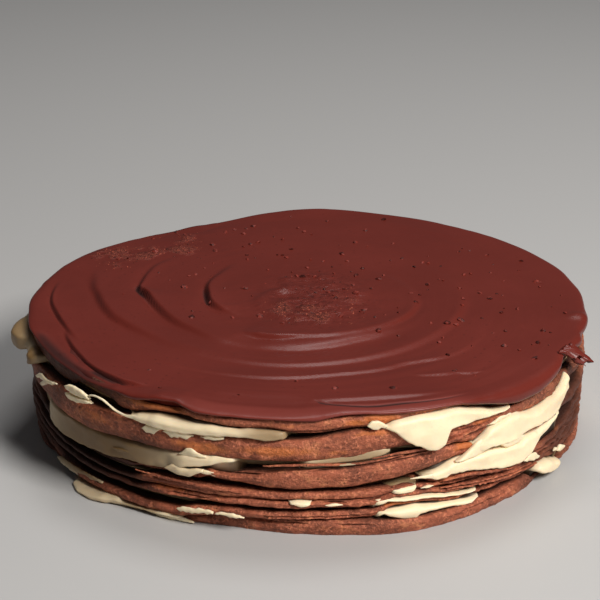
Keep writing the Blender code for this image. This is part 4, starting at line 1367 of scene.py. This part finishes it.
def flake_object(name, azimuth, half_span, start, length, lift, droop):
    """A torn curl of ganache that lies over the rim."""
    rows, columns = FLAKE_ROWS, FLAKE_COLUMNS
    points, faces = [], []
    for layer in (1.0, -1.0):
        for row in range(rows):
            out = row / (rows - 1)
            for column in range(columns):
                along = column / (columns - 1) * 2.0 - 1.0
                ragged = 0.09 * math.sin(9.0 * along + 2.0) + 0.06 * math.sin(17.0 * along)
                radius = start + length * out * (1.0 - 0.55 * along * along + ragged)
                angle = math.radians(azimuth + half_span * along * (1.0 - 0.25 * out) + 0.8 * out)
                fold = 0.0007 * math.sin(7.0 * along + 3.0 * out) + 0.0004 * math.sin(15.0 * along)
                rise = lift + 0.0008 * out - droop * out**1.6 + fold * (0.3 + 0.7 * out)
                height = rise + layer * FLAKE_HALF_THICKNESS * (1.0 - 0.7 * out)
                x, y = AXIS_X + radius * math.cos(angle), AXIS_Y + radius * math.sin(angle)
                points.append((x, y, height))
    half = rows * columns
    for row in range(rows - 1):
        for column in range(columns - 1):
            first = row * columns + column
            quad = (first, first + columns, first + columns + 1, first + 1)
            faces.append(quad)
            faces.append(tuple(half + index for index in reversed(quad)))
    rim = list(range(columns))
    rim += [row * columns + columns - 1 for row in range(1, rows)]
    rim += [(rows - 1) * columns + column for column in range(columns - 2, -1, -1)]
    rim += [row * columns for row in range(rows - 2, 0, -1)]
    for this, following in zip(rim, rim[1:] + rim[:1]):
        faces.append((this, following, half + following, half + this))
    return add_object(name, smooth_mesh(name, points, faces))


# ---------------------------------------------------------------- materials


# The painted shade colour for cream deep in the slots.
CREAM_SLOT_SHADE = (0.030, 0.014, 0.008, 1.0)
MARKS_ROUND = 2.2
MARKS_OUTWARDS = 420.0


class Wire:
    """One output in a material. Sums, differences and products on it add Math nodes."""

    def __init__(self, finish, socket):
        self.finish = finish
        self.socket = socket

    def _math(self, operation, first, second):
        return self.finish.node("ShaderNodeMath", {"operation": operation}, {0: first, 1: second})

    def __add__(self, other):
        return self._math("ADD", self, other)

    def __radd__(self, other):
        return self._math("ADD", other, self)

    def __sub__(self, other):
        return self._math("SUBTRACT", self, other)

    def __rsub__(self, other):
        return self._math("SUBTRACT", other, self)

    def __mul__(self, other):
        return self._math("MULTIPLY", self, other)

    def __rmul__(self, other):
        return self._math("MULTIPLY", other, self)


class Finish:
    """A material made from expressions."""

    def __init__(self, name):
        self.material = bpy.data.materials.new(name)
        self.material.use_nodes = True
        self.tree = self.material.node_tree
        self.shader = self.tree.nodes["Principled BSDF"]

    def node(self, kind, settings=None, inputs=None, output=0):
        """Adds a node, sets it up, then fills its sockets with values or wires."""
        node = self.tree.nodes.new(kind)
        for key, value in (settings or {}).items():
            setattr(node, key, value)
        for key, value in (inputs or {}).items():
            self.fill(node.inputs[key], value)
        return Wire(self, node.outputs[output])

    def fill(self, socket, value):
        if isinstance(value, Wire):
            self.tree.links.new(value.socket, socket)
        else:
            socket.default_value = value

    def shade(self, **values):
        """Fills the shader's sockets. Underscores stand for spaces."""
        for name, value in values.items():
            self.fill(self.shader.inputs[name.replace("_", " ")], value)

    def position(self):
        return self.node("ShaderNodeTexCoord", output=3)

    def noise(self, size, detail=4.0, roughness=0.55, at=None, distortion=0.0):
        """Noise from 0 to 1 whose patches are about size metres."""
        inputs = {
            "Vector": at or self.position(),
            "Scale": 1.0 / size,
            "Detail": detail,
            "Roughness": roughness,
            "Distortion": distortion,
        }
        return self.node("ShaderNodeTexNoise", {}, inputs)

    def cells(self, size):
        """Distance to the nearest of scattered points about size metres apart."""
        inputs = {"Vector": self.position(), "Scale": 1.0 / size}
        return self.node("ShaderNodeTexVoronoi", {}, inputs)

    def steps(self, value, low, high):
        """0 below low, 1 above high, smooth between."""
        settings = {"interpolation_type": "SMOOTHSTEP"}
        inputs = {"Value": value, "From Min": low, "From Max": high}
        return self.node("ShaderNodeMapRange", settings, inputs)

    def blend(self, first, second, factor):
        """The first colour, turning into the second as the factor rises to 1."""
        inputs = {0: factor, 6: first, 7: second}
        return self.node("ShaderNodeMix", {"data_type": "RGBA"}, inputs, output=2)

    def mark(self, name):
        """The value that a mesh holds under this name."""
        return self.node("ShaderNodeAttribute", {"attribute_name": name}, output=2)

    def bump(self, height, distance, strength=1.0, under=None):
        inputs = {"Height": height, "Distance": distance, "Strength": strength}
        if under:
            inputs["Normal"] = under
        return self.node("ShaderNodeBump", {}, inputs)

    def vector(self, operation, first, second=None, output=0):
        """A sum, product, length or direction of vectors."""
        inputs = {0: first} if second is None else {0: first, 1: second}
        return self.node("ShaderNodeVectorMath", {"operation": operation}, inputs, output)

    def knife_way(self):
        """Coordinates that run slowly round the cake and fast outwards, for spread marks."""
        centred = self.vector("SUBTRACT", self.position(), (AXIS_X, AXIS_Y, 0.0))
        flat = self.vector("MULTIPLY", centred, (1.0, 1.0, 0.0))
        radius = self.vector("LENGTH", flat, output=1)
        way = self.vector("NORMALIZE", flat)
        slow = self.vector("MULTIPLY", way, (MARKS_ROUND, MARKS_ROUND, 0.0))
        outwards = self.node("ShaderNodeCombineXYZ", {}, {"Z": radius * MARKS_OUTWARDS})
        return self.vector("ADD", slow, outwards)


def tinted(colour, scale, shift=(0.0, 0.0, 0.0)):
    """The colour made lighter or darker, and shifted."""
    return tuple(max(0.0, c * scale + s) for c, s in zip(colour[:3], shift)) + (1.0,)


def ganache_finish(colours):
    """Dark spread chocolate with cocoa and a lumpy crust, with painted shade in the creases and the
    crust's hollows and a painted highlight on the crust's crests and as a sheen on the front lip.
    """
    finish = Finish("ganache_spread")
    base = colours.ganache
    broad = finish.noise(0.035, 3.0, 0.5)
    fine = finish.noise(0.004, 5.0, 0.6)
    colour = finish.blend(tinted(base, 0.94), tinted(base, 1.07), finish.steps(broad, 0.30, 0.72))
    colour = finish.blend(colour, tinted(base, 1.3), finish.steps(fine, 0.55, 0.80) * 0.30)
    specks = finish.steps(finish.cells(0.0030), 0.20, 0.10)
    specks = specks * finish.steps(broad, 0.42, 0.65)
    colour = finish.blend(colour, tinted(base, 0.45), specks * 0.45)
    grain = finish.noise(0.0013, 5.0, 0.7)
    cocoa = finish.mark("cocoa")
    dusted = finish.steps(cocoa, 0.06, 0.50)
    powder = dusted * finish.steps(grain, 0.44, 0.58)
    colour = finish.blend(colour, tuple(colours.cocoa), powder * 0.85)
    shade = dusted * finish.steps(grain, 0.46, 0.34)
    colour = finish.blend(colour, tinted(base, 0.30), shade * 0.85)
    # Painted highlight: a lighter, redder sheen on the front lip.
    sheen_colour = tinted(base, 1.25, (0.02, 0.008, 0.007))
    colour = finish.blend(colour, sheen_colour, finish.mark("thin") * 0.9)
    crust = finish.mark("crust")
    lumps = finish.noise(0.0027, 3.0, 0.6, distortion=0.6)
    # Painted shade in the crust's hollows and a painted highlight on its crests, following the
    # lumps of its bump.
    hollows = crust * finish.steps(lumps, 0.45, 0.35)
    colour = finish.blend(colour, tinted(base, 0.40), hollows * 0.7)
    crests = crust * finish.steps(lumps, 0.56, 0.68)
    colour = finish.blend(colour, tinted(base, 1.35, (0.02, 0.012, 0.010)), crests * 0.5)
    # Painted shade: the creases are darkened.
    deep = finish.mark("deep")
    colour = finish.blend(colour, tinted(base, 0.10), finish.steps(deep, 0.15, 0.85) * 0.92)
    streaks = finish.noise(1.0, 4.0, 0.6, at=finish.knife_way())
    normal = finish.bump(streaks, 0.00010, 0.7)
    normal = finish.bump(fine, 0.00012, 0.5, normal)
    normal = finish.bump(grain * dusted, 0.0010, 1.0, normal)
    normal = finish.bump(lumps * crust, 0.0012, 0.6, normal)
    finish.shade(
        Base_Color=colour,
        Roughness=0.27 + 0.08 * broad + 0.06 * streaks + 0.28 * dusted + 0.5 * deep,
        Normal=normal,
        Specular_IOR_Level=0.27,
    )
    return finish.material


def crepe_finish(colours):
    """Browned batter with pores and syrup, with painted shade in shaded places and in the hollows.
    """
    finish = Finish("crepe_browned")
    base = colours.crepe
    broad = finish.noise(0.011, 4.0, 0.6)
    patch = finish.noise(0.0040, 5.0, 0.65, distortion=0.4)
    fine = finish.noise(0.0010, 4.0, 0.7)
    flat = finish.vector("MULTIPLY", finish.position(), (1.0, 1.0, 2.4))
    streak = finish.noise(0.0036, 5.0, 0.68, at=flat)
    colour = finish.blend(tinted(base, 0.60), tinted(base, 1.10), finish.steps(broad, 0.32, 0.62))
    tan = finish.steps(patch, 0.48, 0.68) * finish.steps(broad, 0.40, 0.60)
    colour = finish.blend(colour, tuple(colours.toast), tan * 0.75)
    colour = finish.blend(colour, tinted(base, 0.38), finish.steps(streak, 0.50, 0.38) * 0.55)
    light = finish.steps(fine, 0.50, 0.62) * finish.steps(patch, 0.34, 0.56)
    colour = finish.blend(colour, tinted(base, 1.8, (0.07, 0.055, 0.040)), light * 0.70)
    colour = finish.blend(colour, tinted(base, 0.35), finish.steps(fine, 0.44, 0.34) * 0.6)
    # Painted shade: crepes at the shaded left and right ends and under the rim are darkened.
    crepe_shade = finish.mark("crepe_shade") * (0.70 + 0.6 * patch)
    colour = finish.blend(colour, tinted(base, 0.20), finish.steps(crepe_shade, 0.0, 1.0))
    pores = finish.steps(finish.cells(0.0019), 0.26, 0.12) * finish.steps(patch, 0.52, 0.64)
    colour = finish.blend(colour, tinted(base, 0.28), pores * 0.6)
    toasted = finish.steps(finish.mark("toast") + 0.8 * patch, 0.70, 1.15)
    colour = finish.blend(colour, tuple(colours.glaze), toasted * 0.72)
    # Painted shade: the crepe is darkened inside the slots and on its sunk edges.
    colour = finish.blend(colour, tinted(base, 0.08), finish.mark("deep") * 0.94)
    normal = finish.bump(streak, 0.0009, 0.7)
    normal = finish.bump(fine, 0.0007, 0.9, normal)
    normal = finish.bump(1.0 - pores, 0.0004, 0.9, normal)
    finish.shade(
        Base_Color=colour,
        Roughness=0.46 + 0.28 * fine - 0.2 * toasted,
        Normal=normal,
        Specular_IOR_Level=0.38,
    )
    return finish.material


def cream_finish(colours):
    """Whipped cream smeared with chocolate, with painted shade in shaded, sunk and deep places."""
    finish = Finish("cream_whipped")
    base = colours.cream
    broad = finish.noise(0.010, 3.0, 0.5)
    fine = finish.noise(0.0016, 5.0, 0.6)
    colour = finish.blend(tinted(base, 0.92), tinted(base, 1.03), finish.steps(broad, 0.35, 0.65))
    smear = finish.steps(finish.noise(0.0055, 4.0, 0.6, distortion=0.8), 0.60, 0.74)
    smear = smear * finish.steps(broad, 0.48, 0.66)
    colour = finish.blend(colour, tuple(colours.smear), smear * 0.35)
    # Painted shade: cream in shaded and sunk places takes the painted shade colour.
    colour = finish.blend(colour, tuple(colours.cream_shade), finish.mark("cream_shade"))
    # Painted shade: cream deep in the slots is darkened.
    colour = finish.blend(colour, CREAM_SLOT_SHADE, finish.mark("deep") * 0.95)
    normal = finish.bump(broad, 0.0006, 0.4)
    normal = finish.bump(fine, 0.00012, 0.5, normal)
    finish.shade(
        Base_Color=colour,
        Roughness=0.42 + 0.14 * fine,
        Normal=normal,
        Specular_IOR_Level=0.45,
        Subsurface_Weight=0.18,
        Subsurface_Radius=(0.0035, 0.0022, 0.0012),
        Subsurface_Scale=1.0,
    )
    return finish.material


def crumb_finish(name, colour, roughness, darkest):
    """Matt grains of uneven shade."""
    finish = Finish(name)
    spread = finish.noise(0.0022, 3.0, 0.6)
    fine = finish.noise(0.0006, 4.0, 0.6)
    lighter = finish.steps(spread, 0.40, 0.60)
    finish.shade(
        Base_Color=finish.blend(tinted(colour, darkest), tinted(colour, 1.5), lighter),
        Roughness=roughness + 0.15 * fine,
        Normal=finish.bump(fine, 0.0002, 0.8),
        Specular_IOR_Level=0.22,
    )
    return finish.material


# ---------------------------------------------------------------- scattered crumbs


DENSITY = "Most per square metre"
COCOA_SMALLEST = 0.00025
COCOA_LARGEST = 0.0009


def scatter_tree():
    """Geometry nodes that scatter uneven grains over a surface, as a share mark says."""
    tree = bpy.data.node_groups.new("scattered_grains", "GeometryNodeTree")
    for label, kind, start in (
        ("Surface", "Geometry", None),
        (DENSITY, "Float", 1000.0),
        ("Smallest", "Float", 0.0003),
        ("Largest", "Float", 0.001),
        ("Share mark", "String", None),
        ("Seed", "Int", None),
        ("Material", "Material", None),
    ):
        kind = "NodeSocket" + kind
        socket = tree.interface.new_socket(label, in_out="INPUT", socket_type=kind)
        if start is not None:
            socket.default_value = start
    tree.interface.new_socket("Grains", in_out="OUTPUT", socket_type="NodeSocketGeometry")

    def add(kind, settings=None, inputs=None):
        node = tree.nodes.new(kind)
        for key, value in (settings or {}).items():
            setattr(node, key, value)
        for key, value in (inputs or {}).items():
            if hasattr(value, "is_output"):
                tree.links.new(value, node.inputs[key])
            else:
                node.inputs[key].default_value = value
        return node

    def random(kind, inputs):
        return add("FunctionNodeRandomValue", {"data_type": kind}, inputs).outputs

    def maths(operation, inputs):
        return add("ShaderNodeMath", {"operation": operation}, inputs).outputs[0]

    def vector_maths(operation, inputs):
        return add("ShaderNodeVectorMath", {"operation": operation}, inputs).outputs[0]

    entry = add("NodeGroupInput").outputs
    share = add(
        "GeometryNodeInputNamedAttribute", {"data_type": "FLOAT"}, {"Name": entry["Share mark"]}
    )
    density = maths("MULTIPLY", {0: share.outputs["Attribute"], 1: entry[DENSITY]})
    points = add(
        "GeometryNodeDistributePointsOnFaces",
        {"distribute_method": "RANDOM"},
        {"Mesh": entry["Surface"], "Density": density, "Seed": entry["Seed"]},
    )
    grain = add("GeometryNodeMeshIcoSphere", {}, {"Radius": 0.5, "Subdivisions": 1})
    turn = random("FLOAT_VECTOR", {"Min": (-0.5, -0.5, 0.0), "Max": (0.5, 0.5, 6.28), "Seed": 11})
    size = random("FLOAT", {2: 0.0, 3: 1.0, "Seed": 12})
    # Small grains are more common than large ones.
    skewed = maths("POWER", {0: size[1], 1: 1.7})
    span = add(
        "ShaderNodeMapRange",
        {},
        {"Value": skewed, "To Min": entry["Smallest"], "To Max": entry["Largest"]},
    )
    stretch = random("FLOAT_VECTOR", {"Min": (0.7, 0.6, 0.5), "Max": (1.4, 1.1, 0.75), "Seed": 13})
    scale = vector_maths("SCALE", {0: stretch[0], "Scale": span.outputs[0]})
    grains = add(
        "GeometryNodeInstanceOnPoints",
        {},
        {
            "Points": points.outputs["Points"],
            "Instance": grain.outputs["Mesh"],
            "Rotation": turn[0],
            "Scale": scale,
        },
    )
    real = add("GeometryNodeRealizeInstances", {}, {"Geometry": grains.outputs[0]})
    # Each corner is moved a little, so that no two grains are alike.
    place_at = add("GeometryNodeInputPosition")
    noise = add(
        "ShaderNodeTexNoise",
        {},
        {"Vector": place_at.outputs[0], "Scale": 2600.0, "Detail": 1.0},
    )
    centred = vector_maths("SUBTRACT", {0: noise.outputs["Color"], 1: (0.5, 0.5, 0.5)})
    shift = vector_maths("SCALE", {0: centred, "Scale": entry["Smallest"]})
    moved = add("GeometryNodeSetPosition", {}, {"Geometry": real.outputs[0], "Offset": shift})
    painted = add(
        "GeometryNodeSetMaterial",
        {},
        {"Geometry": moved.outputs[0], "Material": entry["Material"]},
    )
    add("NodeGroupOutput", {}, {"Grains": painted.outputs[0]})
    return tree


def scatter(name, surface, tree, values):
    """Runs the tree on a surface and keeps the grains as a plain mesh."""
    helper = add_object(name + "_bed", surface.data.copy())
    modifier = helper.modifiers.new("grains", "NODES")
    modifier.node_group = tree
    for item in tree.interface.items_tree:
        if item.name in values:
            modifier[item.identifier] = values[item.name]
    graph = bpy.context.evaluated_depsgraph_get()
    mesh = bpy.data.meshes.new_from_object(helper.evaluated_get(graph))
    if not mesh.polygons:
        raise RuntimeError(f"{name}: no grains were scattered")
    mesh.name = name
    for mark in ("cocoa", "crumbs", "deep", "thin", "crust"):
        if mark in mesh.attributes:
            mesh.attributes.remove(mesh.attributes[mark])
    bpy.data.objects.remove(helper, do_unlink=True)
    return add_object(name, mesh)


# ---------------------------------------------------------------- settings


COLOUR = {"subtype": "COLOR", "size": 4, "min": 0.0, "max": 1.0}


class CakeColours(PropertyGroup):
    """Colours of the cake's own finishes."""

    ganache: FloatVectorProperty(
        name="Ganache",
        description="Colour of the spread chocolate top",
        default=(0.128, 0.0180, 0.0118, 1.0),
        **COLOUR,
    )
    crepe: FloatVectorProperty(
        name="Crepe",
        description="Main colour of the crepes' edges",
        default=(0.36, 0.098, 0.047, 1.0),
        **COLOUR,
    )
    toast: FloatVectorProperty(
        name="Toasted patches",
        description="Colour of the lighter toasted patches on the crepes",
        default=(0.66, 0.245, 0.105, 1.0),
        **COLOUR,
    )
    glaze: FloatVectorProperty(
        name="Glaze",
        description="Colour of the syrup and toasting on the crepes",
        default=(0.64, 0.180, 0.042, 1.0),
        **COLOUR,
    )
    cream: FloatVectorProperty(
        name="Cream",
        description="Colour of the cream filling",
        default=(0.92, 0.75, 0.50, 1.0),
        **COLOUR,
    )
    smear: FloatVectorProperty(
        name="Smears",
        description="Colour of chocolate rubbed into the cream",
        default=(0.55, 0.34, 0.22, 1.0),
        **COLOUR,
    )
    # The colour of the painted shade on cream in shaded and sunk places.
    cream_shade: FloatVectorProperty(
        name="Painted cream shade",
        description="Colour of the shade painted on shaded and sunk cream",
        default=(0.185, 0.098, 0.028, 1.0),
        **COLOUR,
    )
    cocoa: FloatVectorProperty(
        name="Cocoa",
        description="Colour of the cocoa powder",
        default=(0.215, 0.047, 0.027, 1.0),
        **COLOUR,
    )


class CakeCrumbs(PropertyGroup):
    """How the crumbs and the cocoa are scattered."""

    crumb_density: FloatProperty(
        name="Crumbs per square metre",
        description="Most crumbs on a square metre of the top",
        default=12000.0,
        min=0.0,
    )
    smallest_crumb: FloatProperty(
        name="Smallest crumb",
        description="Length of the smallest crumb on the top",
        unit="LENGTH",
        default=0.0011,
        min=0.0001,
    )
    largest_crumb: FloatProperty(
        name="Largest crumb",
        description="Length of the largest crumb on the top",
        unit="LENGTH",
        default=0.0029,
        min=0.0001,
    )
    cocoa_density: FloatProperty(
        name="Cocoa grains per square metre",
        description="Most grains of cocoa on a square metre of its heaps",
        default=1600000.0,
        min=0.0,
    )
    seed: IntProperty(
        name="Seed",
        description="Changes where the crumbs fall",
        default=7,
        min=0,
    )


class CakeStage(PropertyGroup):
    """The floor and the lights."""

    floor_colour: FloatVectorProperty(
        name="Floor",
        description="Colour of the plain floor",
        default=(0.46, 0.455, 0.45, 1.0),
        **COLOUR,
    )
    key_power: FloatProperty(
        name="Key light",
        description="Power of the main light, from the front right",
        unit="POWER",
        default=18.5,
        min=0.0,
    )
    fill_power: FloatProperty(
        name="Fill light",
        description="Power of the large soft light above",
        unit="POWER",
        default=4.5,
        min=0.0,
    )


def layer_maths():
    """Everything that the layers share, worked out once for each operator."""
    edges = crepe_edges(AZIMUTHS)
    ganache_reach = side_radius(RIM_HEIGHT) + follow_rows(AZIMUTHS, RIM)[2] * MM
    low, high, reach = edges[-1]
    edges[-1] = (low, high, np.minimum(reach, ganache_reach - 0.0010))
    faces = filling_faces(AZIMUTHS, edges)
    rings = contact_rings(edges, faces, ganache_reach)
    return edges, faces, rings, core_heights()


# ---------------------------------------------------------------- operators


class CAKE_OT_crepes(Operator):
    """Make the eight crepes with their torn edges"""

    bl_idname = "cake.crepes"
    bl_label = "Crepes"

    def execute(self, context):
        edges, _, rings, cores = layer_maths()
        material = crepe_finish(context.scene.cake_colours)
        for number in range(len(CREPES)):
            piece = crepe_piece(number, edges, rings, cores[number])
            place(piece, material, [f"crepe_{number + 1}"])
        place(patches_object("crepe_strands", CREPE_STRANDS, 700), material)
        return {"FINISHED"}


class CAKE_OT_fillings(Operator):
    """Make the cream between the crepes and the loose dabs of it on the side"""

    bl_idname = "cake.fillings"
    bl_label = "Cream"

    def execute(self, context):
        edges, faces, rings, cores = layer_maths()
        material = cream_finish(context.scene.cake_colours)
        for number in range(len(FILLINGS)):
            piece = cream_piece(number, edges, faces, rings, cores)
            place(piece, material, [f"cream_{number + 1}"])
        place(patches_object("cream_patches", CREAM_PATCHES, 400), material)
        return {"FINISHED"}


class CAKE_OT_ganache(Operator):
    """Make the swirled ganache top and the torn flakes at its rim"""

    bl_idname = "cake.ganache"
    bl_label = "Ganache"

    def execute(self, context):
        edges, _, rings, cores = layer_maths()
        material = ganache_finish(context.scene.cake_colours)
        piece = ganache_piece(edges, rings, cores[-1][1])
        place(piece, material, ["ganache"])
        for number, size in enumerate(FLAKES):
            place(flake_object(f"ganache_flake_{number + 1}", *size), material)
        return {"FINISHED"}


class CAKE_OT_crumbs(Operator):
    """Scatter the crumbs and the cocoa powder over the top"""

    bl_idname = "cake.crumbs"
    bl_label = "Crumbs and cocoa"

    def execute(self, context):
        crumbs = context.scene.cake_crumbs
        colours = context.scene.cake_colours
        tree = scatter_tree()
        surface = bpy.data.objects["fine_ganache"]
        heaps = (
            (
                "top_crumbs",
                crumb_finish("chocolate_crumb", colours.ganache, 0.45, 0.35),
                (crumbs.crumb_density, crumbs.smallest_crumb, crumbs.largest_crumb, "crumbs"),
            ),
            (
                "cocoa_powder",
                crumb_finish("cocoa_powder", colours.cocoa, 0.60, 0.30),
                (crumbs.cocoa_density, COCOA_SMALLEST, COCOA_LARGEST, "cocoa"),
            ),
        )
        for name, material, sizes in heaps:
            values = dict(zip((DENSITY, "Smallest", "Largest", "Share mark"), sizes))
            values["Seed"] = crumbs.seed
            values["Material"] = material
            place(scatter(name, surface, tree, values), material)
        return {"FINISHED"}


class CAKE_OT_stage(Operator):
    """Set the floor, the soft lights and the camera"""

    bl_idname = "cake.stage"
    bl_label = "Stage"

    def execute(self, context):
        scene = context.scene
        stage = scene.cake_stage
        mesh = bpy.data.meshes.new("floor")
        half = FLOOR_HALF
        corners = [(-half, -half, 0.0), (half, -half, 0.0), (half, half, 0.0), (-half, half, 0.0)]
        mesh.from_pydata(corners, [], [(0, 1, 2, 3)])
        floor = add_object("floor", mesh)
        finish = Finish("plain_floor")
        finish.shade(Base_Color=tuple(stage.floor_colour), Roughness=0.6)
        mesh.materials.append(finish.material)

        lights = (
            ("key_light", (0.62, -0.70, 0.84), stage.key_power, 0.40, (1.0, 0.97, 0.93)),
            ("top_light", (0.12, 0.40, 1.12), stage.fill_power, 0.50, (1.0, 0.99, 0.98)),
        )
        for name, location, power, size, colour in lights:
            lamp = bpy.data.lights.new(name, "AREA")
            lamp.energy = power
            lamp.size = size
            lamp.color = colour
            holder = add_object(name, lamp)
            holder.location = location
            away = Vector(LIGHTS_AIM) - Vector(location)
            holder.rotation_euler = away.to_track_quat("-Z", "Y").to_euler()

        world = bpy.data.worlds.new("soft_room")
        world.use_nodes = True
        background = world.node_tree.nodes["Background"]
        background.inputs["Color"].default_value = ROOM_COLOUR
        background.inputs["Strength"].default_value = ROOM_LIGHT
        scene.world = world
        scene.view_settings.view_transform = "Standard"

        lens = bpy.data.cameras.new("camera")
        lens.lens = CAMERA_LENS
        lens.sensor_width = SENSOR_WIDTH
        camera = add_object("camera", lens)
        tilt = math.radians(CAMERA_ELEVATION)
        offset = Vector((0.0, -math.cos(tilt), math.sin(tilt))) * CAMERA_DISTANCE
        camera.location = Vector(CAMERA_TARGET) + offset
        camera.rotation_euler = (-offset).to_track_quat("-Z", "Y").to_euler()
        scene.camera = camera
        return {"FINISHED"}


class CAKE_PT_panel(Panel):
    """Lists the cake's settings and its makers in the sidebar"""

    bl_idname = "CAKE_PT_panel"
    bl_label = "Crepe cake"
    bl_space_type = "VIEW_3D"
    bl_region_type = "UI"
    bl_category = "Crepe cake"

    def draw(self, context):
        layout = self.layout
        scene = context.scene
        for settings in (scene.cake_colours, scene.cake_crumbs, scene.cake_stage):
            box = layout.box()
            for name in settings.__annotations__:
                box.prop(settings, name)
        for operator in OPERATORS:
            layout.operator(operator.bl_idname)


OPERATORS = (CAKE_OT_crepes, CAKE_OT_fillings, CAKE_OT_ganache, CAKE_OT_crumbs, CAKE_OT_stage)
CLASSES = (CakeColours, CakeCrumbs, CakeStage, *OPERATORS, CAKE_PT_panel)


def register():
    for each in CLASSES:
        bpy.utils.register_class(each)
    bpy.types.Scene.cake_colours = PointerProperty(type=CakeColours)
    bpy.types.Scene.cake_crumbs = PointerProperty(type=CakeCrumbs)
    bpy.types.Scene.cake_stage = PointerProperty(type=CakeStage)


def unregister():
    del bpy.types.Scene.cake_stage
    del bpy.types.Scene.cake_crumbs
    del bpy.types.Scene.cake_colours
    for each in reversed(CLASSES):
        bpy.utils.unregister_class(each)


def main():
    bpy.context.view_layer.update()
    register()
    bpy.ops.cake.crepes()
    bpy.ops.cake.fillings()
    bpy.ops.cake.ganache()
    bpy.ops.cake.crumbs()
    bpy.ops.cake.stage()


if __name__ == "__main__":
    main()
